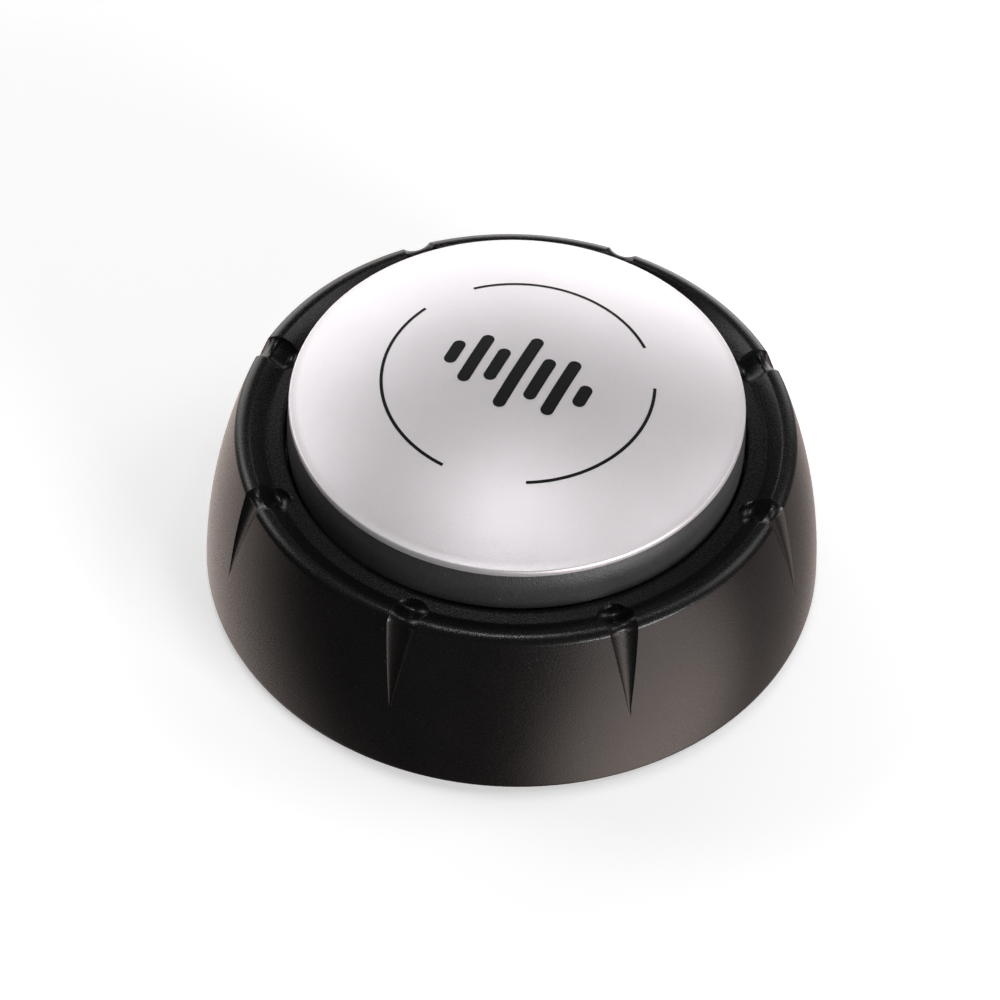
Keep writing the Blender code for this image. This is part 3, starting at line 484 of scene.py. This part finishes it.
def wall_rows():
    """Rows down the wall, on which the grooves taper to their tips, and round its foot."""
    rows = []
    z = WALL_ROWS_START
    while z > WALL_BOTTOM + FOOT_MARGIN:
        share = max(0.0, (z - NOTCH_TIP_Z) / (GROOVE_TOP_Z - NOTCH_TIP_Z))
        rows.append((wall_radius(z), z, GROOVE_HALF * share, GROOVE_DEPTH * share))
        z -= GROOVE_ROW_STEP if z > NOTCH_TIP_Z - TIP_MARGIN else PLAIN_ROW_STEP
    corner = (wall_radius(WALL_BOTTOM + FOOT_ROUND) - FOOT_ROUND, WALL_BOTTOM + FOOT_ROUND)
    return rows + [(r, z, 0.0, 0.0) for r, z in arc(corner, FOOT_ROUND, 0, -90, 5)]


def inside_rows():
    """Rows up the inside: the base plate's seat, the wall, the ceiling and the collar."""
    points = SKIRT_SEAT + [(wall_radius(z) - WALL_THICKNESS, z)
                           for z in (13.0, 17.0, 21.0, CEILING_Z)] + COLLAR
    return [(r, z, 0.0, 0.0) for r, z in points]


def skin_columns(half, radius):
    """Columns round one notch and the plain stretches beside it.

    Returns the notch's edge as an angle, and for each column its angle and its share of the
    notch's half width. These angles are in radians, from the notch's middle.
    """
    sector = math.pi / NOTCH_COUNT
    laid = max(half, 0.2)
    if half == 0:
        laid = 0.5 if radius > SCOOP_START else 0.3
    edge = laid / radius
    columns = [(-sector, 0.0)]
    columns += [(-blend(edge, sector, s), 0.0) for s in reversed(PLAIN_COLUMNS)]
    columns += [(-edge * t, t) for t in reversed(NOTCH_COLUMNS)]
    columns += [(edge * t, t) for t in NOTCH_COLUMNS[1:]]
    columns += [(blend(edge, sector, s), 0.0) for s in PLAIN_COLUMNS]
    return edge, columns


def make_housing():
    """Upper shell: wall, bead and deck in one skin, with eight notches pressed into it."""
    rows = deck_rows() + bead_rows() + wall_rows() + inside_rows()
    sector = math.pi / NOTCH_COUNT
    verts = []
    for index, (radius, z, half, depth) in enumerate(rows):
        before, after = rows[index - 1], rows[(index + 1) % len(rows)]
        along = Vector((after[0] - before[0], after[1] - before[1])).normalized()
        normal = (-along.y, along.x)
        edge, columns = skin_columns(half, radius)
        for number in range(NOTCH_COUNT):
            middle = sector + 2 * sector * number
            for turn, t in columns:
                sunk = 0.0
                if abs(turn) <= edge and half > 0:
                    sunk = depth * max(0.0, 1 - t * t) ** 0.85
                r = radius - sunk * normal[0]
                height = z - sunk * normal[1]
                verts.append((r * math.cos(middle + turn), r * math.sin(middle + turn), height))
    across = len(verts) // len(rows)
    faces = []
    for row in range(len(rows)):
        low, high = row * across, ((row + 1) % len(rows)) * across
        for i in range(across):
            k = (i + 1) % across
            faces.append((low + i, high + i, high + k, low + k))
    housing = new_object("housing_shell", verts, faces, "black_plastic")
    case, carrier = ring_places(*CASE_SCREWS), ring_places(*CARRIER_SCREWS)
    boolean(housing, "UNION", cylinders(case, *CASE_BOSS), cylinders(carrier, *CARRIER_BOSS))
    boolean(housing, "DIFFERENCE", cylinders(case, *CASE_HOLE, 24),
            cylinders(carrier, *CARRIER_HOLE, 24))
    return installed(smooth(housing, 50), "base", "black_plastic", "housing")


# ---- Button ----
def dome_z(radius, depth=0.0):
    """Height of the dome, or of a shell that lies at a depth under it."""
    return DOME_TOP - DOME_RADIUS + math.sqrt((DOME_RADIUS - depth) ** 2 - radius ** 2)


def dome_points(outer, depth, count):
    """Profile points from the axis out along the dome, or at a depth under it."""
    radii = [blend(0.0, outer, i / (count - 1)) for i in range(count)]
    return [(r, dome_z(r, depth)) for r in radii]


CAP_DEPTH = 1.2                   # of the cap's top under the face's dome
CEILING_DEPTH = 3.0               # of its ceiling
CAP_TOP_RADIUS = 33.4
SHOULDER_CENTRE = (29.65, 30.2)
SHOULDER_RADIUS = 5.0
SKIRT_INSIDE = 32.6
CEILING_RADIUS = 31.1
CEILING_DROP = 1.5                # from the ceiling to the top of the skirt's inside
SPRING_SEAT = (3.9, 29.0)         # radius and bottom, as in the two lines below
SPRING_PIN = (1.6, 26.0)
CENTRE_POST = (3.0, 29.4)
CAP_OVERLAP = 1.0                 # how far the seats, pins and post reach into the cap's top
FLANGE = [(34.65, 22.2), (36.4, 22.2), (36.5, 22.1), (36.5, 20.7), (36.4, 20.6),
          (SKIRT_INSIDE, 20.6)]


def make_button_cap():
    """Push cap with its skirt, flange, spring seats and centre post."""
    profile = dome_points(CAP_TOP_RADIUS, CAP_DEPTH, 12)
    profile += arc(SHOULDER_CENTRE, SHOULDER_RADIUS, 34, 0, 9)
    profile += FLANGE + [(SKIRT_INSIDE, dome_z(SKIRT_INSIDE, CEILING_DEPTH) - CEILING_DROP)]
    profile += list(reversed(dome_points(CEILING_RADIUS, CEILING_DEPTH, 10)))
    cap = turned("button_cap_fine", profile, "grey_plastic", 192)
    seats = ring_places(*RETURN_SPRINGS)
    seat_edge = RETURN_SPRINGS[0] + SPRING_SEAT[0]
    into_ceiling = dome_z(seat_edge, CEILING_DEPTH) + CAP_OVERLAP
    boolean(cap, "UNION", cylinders(seats, *SPRING_SEAT, into_ceiling),
            cylinders(seats, *SPRING_PIN, into_ceiling),
            cylinders([(0, 0)], *CENTRE_POST, dome_z(0, CEILING_DEPTH) + CAP_OVERLAP))
    return installed(smooth(cap), "button", "grey_plastic", "button_cap")


def make_face_disc():
    """Thin domed silver plate with a rolled edge."""
    edge_round, under_round = 0.42, 0.15
    rim = FACE_RADIUS - edge_round
    profile = dome_points(rim, 0.0, 34)
    profile += arc((rim, dome_z(rim) - edge_round), edge_round, 72, 0, 6)
    low = dome_z(FACE_RADIUS, FACE_THICKNESS)
    profile += arc((FACE_RADIUS - under_round, low + under_round), under_round, 0, -90, 3)
    profile += list(reversed(dome_points(rim, FACE_THICKNESS, 12)))
    disc = turned("face_disc_fine", profile, "silver_face", 256)
    return installed(smooth(disc), "button", "silver_face", "face_disc")


# ---- Printed mark: upright bars inside a broken ring ----
PRINT_TILT = -24.0                # degrees, as the print lies on the face
PRINT_LOW = 0.005                 # the ink lies on the dome between these heights
PRINT_HIGH = 0.035
RING_RADIUS = 20.5
RING_WIDTH = 0.5
RING_ARCS = ((-62, 22), (46, 134), (158, 262))
BAR_HEIGHTS = (5.0, 10.5, 7.0, 15.5, 9.0, 12.0, 4.5)
BAR_WIDTH = 2.0
BAR_PITCH = 3.5


def arc_rows():
    """Left and right points of each piece of the broken ring."""
    rows = []
    for start, end in RING_ARCS:
        count = int((end - start) / 2)
        part = []
        for i in range(count + 1):
            angle = math.radians(blend(start, end, i / count))
            x, y = math.cos(angle), math.sin(angle)
            part.append([(x * r, y * r) for r in (RING_RADIUS - RING_WIDTH / 2,
                                                  RING_RADIUS + RING_WIDTH / 2)])
        rows.append(part)
    return rows


def bar_rows():
    """Left and right points of each round-ended bar."""
    rows = []
    half = BAR_WIDTH / 2
    for number, height in enumerate(BAR_HEIGHTS):
        x = (number - (len(BAR_HEIGHTS) - 1) / 2) * BAR_PITCH
        straight = height / 2 - half
        round_end = [(straight + half * math.sin(math.radians(a)), half * math.cos(math.radians(a)))
                     for a in range(0, 88, 8)]
        steps = max(2, int(straight))
        middle = [(straight * i / steps, half) for i in range(steps)]
        upper = middle + round_end
        lower = [(-y, w) for y, w in reversed(upper[1:])]
        rows.append([[(x + w, y), (x - w, y)] for y, w in lower + upper])
    return rows


def make_print():
    """Thin ink that follows the dome."""
    verts, faces = [], []
    turn = math.radians(PRINT_TILT)
    for part in arc_rows() + bar_rows():
        first = len(verts)
        for left, right in part:
            for (x, y), lift in ((left, PRINT_LOW), (right, PRINT_LOW), (right, PRINT_HIGH),
                                 (left, PRINT_HIGH)):
                px = x * math.cos(turn) - y * math.sin(turn)
                py = x * math.sin(turn) + y * math.cos(turn)
                verts.append((px, py, dome_z(math.hypot(px, py)) + lift))
        last = len(verts) - 4
        for row in range(first, last, 4):
            faces += [(row + i, row + (i + 1) % 4, row + 4 + (i + 1) % 4, row + 4 + i)
                      for i in range(4)]
        faces += [(first + 3, first + 2, first + 1, first), (last, last + 1, last + 2, last + 3)]
    mark = new_object("face_print", verts, faces, "ink")
    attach(mark, "button")


# ---- Fasteners, feet and springs ----
RECESS_ARM = (1.25, 0.27)         # half length and half width of each arm of a cross recess
RECESS_DEPTH = 0.62
# A pan head from its top, as (radius, depth below the top).
SCREW_HEAD = [(0, 0), (1.5, 0.0), (1.85, 0.08), (2.05, 0.24), (2.1, 0.42), (2.1, 0.84),
              (2.04, 0.9), (0.9, 0.9)]
THREAD_CORE = 0.7
THREAD_CREST = 0.9
THREAD_PITCH = 0.62
THREAD_MARGIN = 1.3               # plain length at each end


def cross_recess(x, y, head_z, inward):
    """The two arms of a cross recess, as Boolean tools; inward is +1 if the screw points up."""
    low, high = sorted((head_z - inward * 0.1, head_z + inward * RECESS_DEPTH))
    return [boxes([(x - a, x + a, y - b, y + b, low, high)])
            for a, b in (RECESS_ARM, RECESS_ARM[::-1])]


def make_screw(node, body):
    """Pan-head screw with a cross recess and a ridged shank, the size of the part's own."""
    low, high = (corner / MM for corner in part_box(node))
    x, y = (low.x + high.x) / 2, (low.y + high.y) / 2
    points_up = node.startswith(("case", "carrier", "door"))
    inward = 1 if points_up else -1
    head_z = low.z if points_up else high.z
    length = high.z - low.z
    shank = []
    along = THREAD_MARGIN
    while along < length - THREAD_MARGIN:
        shank += [(THREAD_CORE, along), (THREAD_CORE, along + 0.12),
                  (THREAD_CREST, along + 0.34), (THREAD_CREST, along + 0.42)]
        along += THREAD_PITCH
    profile = SCREW_HEAD + shank + [(0.6, length - 0.6), (0, length)]
    profile = [(r, head_z + inward * h) for r, h in profile]
    if points_up:
        profile.reverse()
    screw = turned(node + "_fine", profile, "steel", 32, (x, y))
    boolean(screw, "DIFFERENCE", *cross_recess(x, y, head_z, inward))
    installed(smooth(screw, 32), body, "steel", node)


def make_foot(node):
    """Rubber foot with a soft edge and a shallow dish."""
    low, high = (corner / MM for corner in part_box(node))
    place = ((low.x + high.x) / 2, (low.y + high.y) / 2)
    profile = [(0, 1.2), (4.1, 1.2), (4.2, 1.1)] + arc((3.8, 0.4), 0.4, 0, -90, 6)
    profile += [(3.0, 0.0), (2.8, 0.12), (0, 0.12)]
    foot = turned(node + "_fine", profile, "rubber", 64, place)
    installed(smooth(foot), "base", "rubber", node)


def tube(name, points, radius, material, sides=12):
    """Round wire along points in millimetres, closed at its ends."""
    verts, faces = [], []
    spine = [Vector(point) for point in points]
    side = Vector((0, 0, 1)).cross(spine[1] - spine[0]).normalized()
    if side.length < 0.5:
        side = Vector((1, 0, 0))
    for i, point in enumerate(spine):
        along = (spine[min(i + 1, len(spine) - 1)] - spine[max(i - 1, 0)]).normalized()
        side = (side - along * side.dot(along)).normalized()
        up = along.cross(side)
        for k in range(sides):
            angle = math.tau * k / sides
            verts.append(point + radius * (math.cos(angle) * side + math.sin(angle) * up))
    for i in range(len(spine) - 1):
        for k in range(sides):
            m = (k + 1) % sides
            faces.append((i * sides + k, i * sides + m, (i + 1) * sides + m, (i + 1) * sides + k))
    last = (len(spine) - 1) * sides
    faces += [tuple(reversed(range(sides))), tuple(last + k for k in range(sides))]
    return new_object(name, verts, faces, material)


def coil(centre, radius_low, radius_high, low, high, turns, along="Z", per_turn=32):
    """Points of a helix whose ends lie flat, along Z or along X."""
    points = []
    count = int(turns * per_turn)
    for i in range(count + 1):
        share = i / count
        angle = math.tau * turns * share
        level = blend(low, high, share - math.sin(math.tau * share) / (math.tau * turns))
        radius = blend(radius_low, radius_high, share)
        a, b = centre[0] + radius * math.cos(angle), centre[1] + radius * math.sin(angle)
        points.append((a, b, level) if along == "Z" else (level, a, b))
    return points


RETURN_SPRING_WIRE = 0.4          # radius
RETURN_SPRING_RADIUS = 2.9        # from its axis to the wire's centre
RETURN_SPRING_ENDS = (17.6, 28.7)
CELL_SPRING_WIRE = 0.35
CELL_SPRING_RADII = (3.4, 2.0)    # at the contact plate and at the cell


def make_return_spring(node, place):
    """Coil that the button presses on, built at one length."""
    wire = RETURN_SPRING_WIRE
    low, high = RETURN_SPRING_ENDS
    points = coil(place, RETURN_SPRING_RADIUS, RETURN_SPRING_RADIUS, low + wire, high - wire, 4)
    spring = tube(node + "_fine", points, wire, "steel")
    installed(smooth(spring, 60), "base", "steel", node)
    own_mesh(spring)


def make_cell_spring(node, y, plate_on_left):
    """Conical coil that presses on a cell's flat end."""
    wire = CELL_SPRING_WIRE
    first, last = (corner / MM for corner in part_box(node))
    at_plate, at_cell = first.x + wire, last.x - wire
    if not plate_on_left:
        at_plate, at_cell = at_cell, at_plate
    points = coil((y, CELL_Z), *CELL_SPRING_RADII, at_plate, at_cell, 3, "X")
    installed(smooth(tube(node + "_fine", points, wire, "steel"), 60), "base", "steel", node)


def make_springs():
    """The three return springs and the two springs of the battery compartment."""
    for number, place in enumerate(ring_places(*RETURN_SPRINGS), start=1):
        make_return_spring(f"return_spring_{number}", place)
    for number, y in enumerate(CELL_LINES, start=1):
        make_cell_spring(f"contact_spring_{number}", y, number == 1)


# ---- Base plate and battery door; boxes are x0, x1, y0, y1, z0, z1 ----
PLATE_RADIUS = 44.8
PLATE_LOW = 1.0
PLATE_TOP = 3.0
TUB = (-27.6, 27.6, -0.4, 28.4, 2.5, 15.4)
TUB_INSIDE = (-25.2, 25.2, 2.0, 26.0, 0.0, 14.2)
SCREW_BLOCK = (-5.5, 5.5, 27.9, 34.6, 2.5, 8.0)
DOOR_SEAT = (-26.2, 26.2, 1.0, 27.0, 0.0, 3.0)
EAR_SEAT = (-4.3, 4.3, 26.0, 33.0, 0.0, 3.0)
DOOR = (-25.9, 25.9, 1.3, 26.7, 1.0, 2.6)
DOOR_EAR = (-4.0, 4.0, 25.7, 32.7, 1.0, 2.6)
HEAD_SEAT_RADIUS = 2.5
LUG_RADIUS = 2.3
FOOT_SEAT_RADIUS = 4.5
GRILLE_RADIUS = 12.0
GRILLE_PITCH = 3.4
GRILLE_SLOT = 1.5
FINGER_GROOVE_LINES = (19.0, 21.0, 23.0)


def slots(corners, steps=10):
    """Round-ended slots along X as (x0, x1, y, width, z0, z1), as a Boolean tool."""
    verts, faces = [], []
    for x0, x1, y, width, z0, z1 in corners:
        half = width / 2
        outline = []
        for centre, start in ((x1 - half, -90), (x0 + half, 90)):
            for i in range(steps + 1):
                a = math.radians(start + 180 * i / steps)
                outline.append((centre + half * math.cos(a), y + half * math.sin(a)))
        first, count = len(verts), len(outline)
        verts += [(px, py, z) for z in (z0, z1) for px, py in outline]
        faces.append(tuple(first + i for i in reversed(range(count))))
        faces.append(tuple(first + count + i for i in range(count)))
        for i in range(count):
            k = (i + 1) % count
            faces.append((first + i, first + k, first + count + k, first + count + i))
    return new_object("tool", verts, faces)


def grille_slots():
    """Slots of different lengths that fill a circle under the loudspeaker."""
    rows = []
    for i in range(-3, 4):
        half = math.sqrt(GRILLE_RADIUS ** 2 - (GRILLE_PITCH * i) ** 2)
        rows.append((-half, half, SPEAKER_PLACE[1] + GRILLE_PITCH * i, GRILLE_SLOT, 0.0, 4.0))
    return slots(rows)


def make_base_plate():
    """Floor of the case: battery tub, grille, screw and foot seats."""
    plate = cylinders([(0, 0)], PLATE_RADIUS, PLATE_LOW, PLATE_TOP, 192)
    plate.name = "base_plate_fine"
    plate.data.materials.append(MATERIALS["black_plastic"])
    case = ring_places(*CASE_SCREWS)
    boolean(plate, "UNION", boxes([TUB]), boxes([SCREW_BLOCK]),
            cylinders(SPEAKER_SCREWS, LUG_RADIUS, 2.5, 5.2))
    boolean(plate, "DIFFERENCE", boxes([TUB_INSIDE]), boxes([DOOR_SEAT]), boxes([EAR_SEAT]),
            boxes([(x - 2.8, x + 2.8, -1.5, 2.1, 1.5, 4.2) for x in TONGUE_LINES]),
            boxes([(25.0, 27.8, y - 1.3, y + 1.3, 9.7, 10.7) for y in CELL_LINES]),
            cylinders(case, SHANK_HOLE, 0.0, 4.0, 24),
            cylinders(case, HEAD_SEAT_RADIUS, 0.0, 2.3),
            cylinders(ring_places(*FEET), FOOT_SEAT_RADIUS, 0.0, 1.5, 64),
            cylinders(DOOR_SCREW, 1.3, 2.8, 6.5, 24),
            cylinders(SPEAKER_SCREWS, SHANK_HOLE, 3.0, 6.0, 24),
            grille_slots())
    bevelled(plate, 0.2)
    installed(crisp(plate), "base", "black_plastic", "base_plate")


def make_door():
    """Battery door with two tongues, a screw ear and finger grooves."""
    door = boxes([DOOR])
    door.name = "battery_door_fine"
    door.data.materials.append(MATERIALS["black_plastic"])
    boolean(door, "UNION",
            boxes([(x - 2.5, x + 2.5, -0.9, 2.3, 1.8, 2.6) for x in TONGUE_LINES]),
            boxes([DOOR_EAR]))
    boolean(door, "DIFFERENCE", cylinders(DOOR_SCREW, SHANK_HOLE, 0.0, 3.6, 24),
            cylinders(DOOR_SCREW, HEAD_SEAT_RADIUS, 0.0, 2.2),
            slots([(-9, 9, y, 0.8, 0.5, 1.4) for y in FINGER_GROOVE_LINES]))
    bevelled(door, 0.2)
    installed(crisp(door), "door", "black_plastic", "battery_door")


# ---- Batteries, loudspeaker and electronics ----
def laid_along_x(item, x, y, z, direction):
    """Lay a piece that was turned about Z along X."""
    turn = Matrix.Rotation(direction * math.pi / 2, 4, "Y")
    item.data.transform(Matrix.Translation((x * MM, y * MM, z * MM)) @ turn)
    return item


# A cell from its button to its flat end, as (radius, distance from the flat end).
CELL_PROFILE = [(0, 44.5), (1.6, 44.5), (1.85, 44.3), (1.9, 43.9), (1.9, 43.7), (3.9, 43.7),
                (4.0, 43.55), (4.6, 43.55), (4.9, 43.7), (5.15, 43.6), (5.25, 43.3),
                (5.25, 0.5), (5.15, 0.15), (4.8, 0.0), (4.3, 0.05), (4.1, 0.25), (0, 0.25)]
JACKET_OPENING = 4.0              # inside this radius the steel can shows


def make_batteries():
    """Two AAA cells with a rolled jacket, a shoulder and a contact at each end."""
    for number, (y, direction) in enumerate(zip(CELL_LINES, (1, -1)), start=1):
        node = f"battery_{number}"
        low, high = (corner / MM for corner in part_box(node))
        flat_end = low.x if direction == 1 else high.x
        cell = turned(node + "_fine", CELL_PROFILE, "cell_jacket", 64)
        cell.data.materials.append(MATERIALS["steel"])
        for face in cell.data.polygons:
            height = face.center.z / MM
            radius = math.hypot(face.center.x, face.center.y) / MM
            if radius < JACKET_OPENING or height < 0.05:
                face.material_index = 1
        laid_along_x(cell, flat_end, y, CELL_Z, direction)
        installed(smooth(cell, 35), "base", "cell_jacket", node)


BOARD_TOP = 19.1
CHIP_PLACE = (8.5, -6.5)
CAPACITOR_PLACE = (-9.0, 7.0)


def round_pieces():
    """Round pieces inside the case: node, slot, body, place, height to stand at, profile."""
    cone = [(0, 7.6), (1.3, 7.5), (2.4, 7.2), (3.5, 6.5), (3.5, 12.4), (4.1, 12.4), (4.1, 7.3),
            (6.4, 6.46), (8.8, 5.58), (11.2, 4.7), (11.5, 4.85), (12.0, 5.15), (12.4, 5.2),
            (12.9, 5.15), (13.3, 4.95), (13.6, 4.9), (13.6, 4.5), (13.2, 4.5), (12.8, 4.65),
            (12.4, 4.7), (12.0, 4.65), (11.6, 4.35), (11.2, 4.2), (8.8, 4.76), (6.4, 5.32),
            (3.9, 5.9), (2.2, 6.7), (1.1, 7.0), (0, 7.1)]
    frame_profile = [(4.7, 10.4), (9.4, 10.4), (9.6, 10.3), (14.4, 5.5), (14.7, 5.3),
                     (15.8, 5.3), (16.0, 5.15), (16.0, 4.55), (15.85, 4.4), (14.2, 4.4),
                     (14.2, 4.9), (9.2, 9.5), (4.7, 9.5)]
    magnet = [(0, 14.6), (7.5, 14.6), (7.9, 14.45), (8.0, 14.2), (8.0, 10.9), (7.8, 10.7),
              (4.7, 10.7), (4.7, 13.2), (2.9, 13.2), (2.9, 9.6), (0, 9.6)]
    gasket = [(16.0, 4.1), (16.0, 3.3), (13.9, 3.3), (13.9, 4.1)]
    blob = [(0, 1.6), (0.8, 1.58), (1.6, 1.45), (2.4, 1.25), (3.0, 1.0), (3.5, 0.68),
            (3.8, 0.35), (3.9, 0), (0, 0)]
    can = [(0, 6.9), (1.9, 6.9), (2.0, 7.0), (2.2, 7.0), (2.4, 6.9), (2.5, 6.7), (2.5, 1.2),
           (2.3, 0.95), (2.3, 0.75), (2.5, 0.5), (2.5, 0), (0, 0)]
    plunger = [(0, 29.1), (1.4, 29.1), (1.62, 29.0), (1.7, 28.8), (1.7, 22.9), (0, 22.9)]
    return [("speaker_cone", "paper_cone", "cone", SPEAKER_PLACE, 0.0, cone),
            ("speaker_frame", "steel", "base", SPEAKER_PLACE, 0.0, frame_profile),
            ("speaker_magnet", "steel", "base", SPEAKER_PLACE, 0.0, magnet),
            ("speaker_gasket", "foam", "base", SPEAKER_PLACE, 0.0, gasket),
            ("sound_chip", "epoxy", "base", CHIP_PLACE, BOARD_TOP, blob),
            ("capacitor", "epoxy", "base", CAPACITOR_PLACE, BOARD_TOP, can),
            ("switch_plunger", "switch_white", "switch_plunger", (0, 0), 0.0, plunger)]


def make_round_pieces():
    """Build the round pieces inside the case."""
    for node, slot, body, place, lift, profile in round_pieces():
        raised = [(r, z + lift) for r, z in profile]
        item = turned(node + "_fine", raised, slot, 72, place)
        installed(smooth(item, 35), body, slot, node)


# ---- Stage ----
WORLD_LEVEL = 0.039
NEUTRAL = (1.0, 1.0, 1.0)
WARM = (1.0, 0.84, 0.78)
# Soft glows of the surroundings: direction, the cosines at which a glow begins and is full,
# strength, colour.
GLOWS = [
    ((-0.45, 0.86, 0.24), 0.90, 0.96, 2.60, NEUTRAL),
    ((0.25, 0.96, 0.12), 0.88, 0.97, 2.90, NEUTRAL),
    ((0.60, -0.52, -0.56), 0.80, 1.00, 3.50, WARM),
    ((-0.40, 0.60, -0.70), 0.50, 1.00, 1.05, WARM),
    ((0.50, 0.60, -0.60), 0.50, 1.00, 0.40, WARM),
]
# Soft lights: name, place and size in metres, power in watts.
LIGHTS = [
    ("light_key", (-0.03, 0.17, 1.18), (0.16, 0.16), 2.3),
    ("light_over_right", (0.42, 0.05, 1.15), (0.12, 0.12), 0.6),
    ("light_right", (0.75, 0.20, 0.75), (0.5, 0.5), 2.1),
    ("light_front_right", (0.75, -0.85, 0.22), (0.6, 0.35), 14.5),
    ("light_left", (-0.9, 0.5, 0.75), (0.5, 0.5), 3.5),
]
LIGHT_TARGET = Vector((0, 0, 0.02))               # metres
FLOOR_HALF = 2500                 # half of the floor's width


def area_light(name, place, size, power):
    """A soft rectangular light that faces the object."""
    data = bpy.data.lights.new(name, "AREA")
    data.shape = "RECTANGLE"
    data.size, data.size_y = size
    data.energy = power
    item = bpy.data.objects.new(name, data)
    bpy.context.scene.collection.objects.link(item)
    item.location = place
    item.rotation_euler = (LIGHT_TARGET - Vector(place)).to_track_quat("-Z", "Y").to_euler()


def make_world():
    """Dim surroundings with soft glows: pale ones behind the object, warm ones from below."""
    world = bpy.data.worlds.new("studio")
    bpy.context.scene.world = world
    world.use_nodes = True
    tree = world.node_tree
    tree.nodes.clear()
    output = tree.nodes.new("ShaderNodeOutputWorld")
    background = tree.nodes.new("ShaderNodeBackground")
    tree.links.new(background.outputs[0], output.inputs[0])
    place = tree.nodes.new("ShaderNodeTexCoord").outputs["Generated"]
    total = None
    for direction, edge, full, strength, colour in GLOWS:
        dot = tree.nodes.new("ShaderNodeVectorMath")
        dot.operation = "DOT_PRODUCT"
        tree.links.new(place, dot.inputs[0])
        dot.inputs[1].default_value = Vector(direction).normalized()
        share = tree.nodes.new("ShaderNodeMapRange")
        share.interpolation_type = "SMOOTHSTEP"
        tree.links.new(dot.outputs["Value"], share.inputs["Value"])
        share.inputs["From Min"].default_value = edge
        share.inputs["From Max"].default_value = full
        share.inputs["To Max"].default_value = strength
        add = tree.nodes.new("ShaderNodeVectorMath")
        add.operation = "MULTIPLY_ADD"
        tree.links.new(share.outputs["Result"], add.inputs[0])
        add.inputs[1].default_value = colour
        add.inputs[2].default_value = (WORLD_LEVEL, WORLD_LEVEL, WORLD_LEVEL)
        if total is not None:
            tree.links.new(total, add.inputs[2])
        total = add.outputs["Vector"]
    tree.links.new(total, background.inputs["Color"])


def make_floor():
    """White floor that glows a little, so that it stays pale round the object."""
    h = FLOOR_HALF
    floor = new_object("floor", [(-h, -h, 0), (h, -h, 0), (h, h, 0), (-h, h, 0)], [(0, 1, 2, 3)])
    paint = Nodes("floor_paint")
    paint.shader.inputs["Base Color"].default_value = (0.86, 0.855, 0.855, 1)
    paint.shader.inputs["Roughness"].default_value = 0.9
    paint.shader.inputs["Specular IOR Level"].default_value = 0.1
    paint.shader.inputs["Emission Color"].default_value = (1, 1, 1, 1)
    paint.shader.inputs["Emission Strength"].default_value = 0.40
    floor.data.materials.append(paint.material)
    floor.visible_glossy = False      # the surroundings stand in for it in reflections


def make_camera():
    """Camera that looks down at the object, a little turned and rolled."""
    camera_data = bpy.data.cameras.new("camera")
    camera_data.sensor_width = 36
    camera_data.lens = CAMERA_LENS
    camera_data.clip_start = 0.05     # metres
    camera = bpy.data.objects.new("camera", camera_data)
    bpy.context.scene.collection.objects.link(camera)
    tilt = math.radians(CAMERA_ELEVATION)
    forward = Vector((0, math.cos(tilt), -math.sin(tilt)))
    right = Vector((1, 0, 0))
    up = right.cross(forward)
    roll = math.radians(CAMERA_ROLL)
    side = math.cos(roll) * right + math.sin(roll) * up
    top = math.cos(roll) * up - math.sin(roll) * right
    place = right * CAMERA_SIDE + up * CAMERA_RISE - forward * CAMERA_DISTANCE
    pose = Matrix((side, top, -forward)).transposed().to_4x4()
    pose.translation = place
    camera.matrix_world = Matrix.Rotation(math.radians(CAMERA_AZIMUTH), 4, "Z") @ pose
    bpy.context.scene.camera = camera


def make_stage():
    """Floor, surroundings, lights and camera."""
    make_floor()
    make_world()
    for light in LIGHTS:
        area_light(*light)
    make_camera()
    bpy.context.scene.view_settings.view_transform = "Standard"


def finish_nodes():
    """Give the part's own pieces their finished materials."""
    for row in frame["record"]["subparts"]:
        item = frame["nodes"][row["node"]]
        for place in item.material_slots:
            place.material = MATERIALS[row["material_slot"]]


def main():
    """Build the look of every piece."""
    make_stage()
    finish_nodes()
    make_housing()
    make_button_cap()
    make_face_disc()
    make_print()
    make_base_plate()
    make_door()
    make_springs()
    make_batteries()
    make_round_pieces()
    for node in frame["nodes"]:
        if "_screw_" in node:
            make_screw(node, "door" if node.startswith("door") else "base")
        elif node.startswith("foot_"):
            make_foot(node)


main()
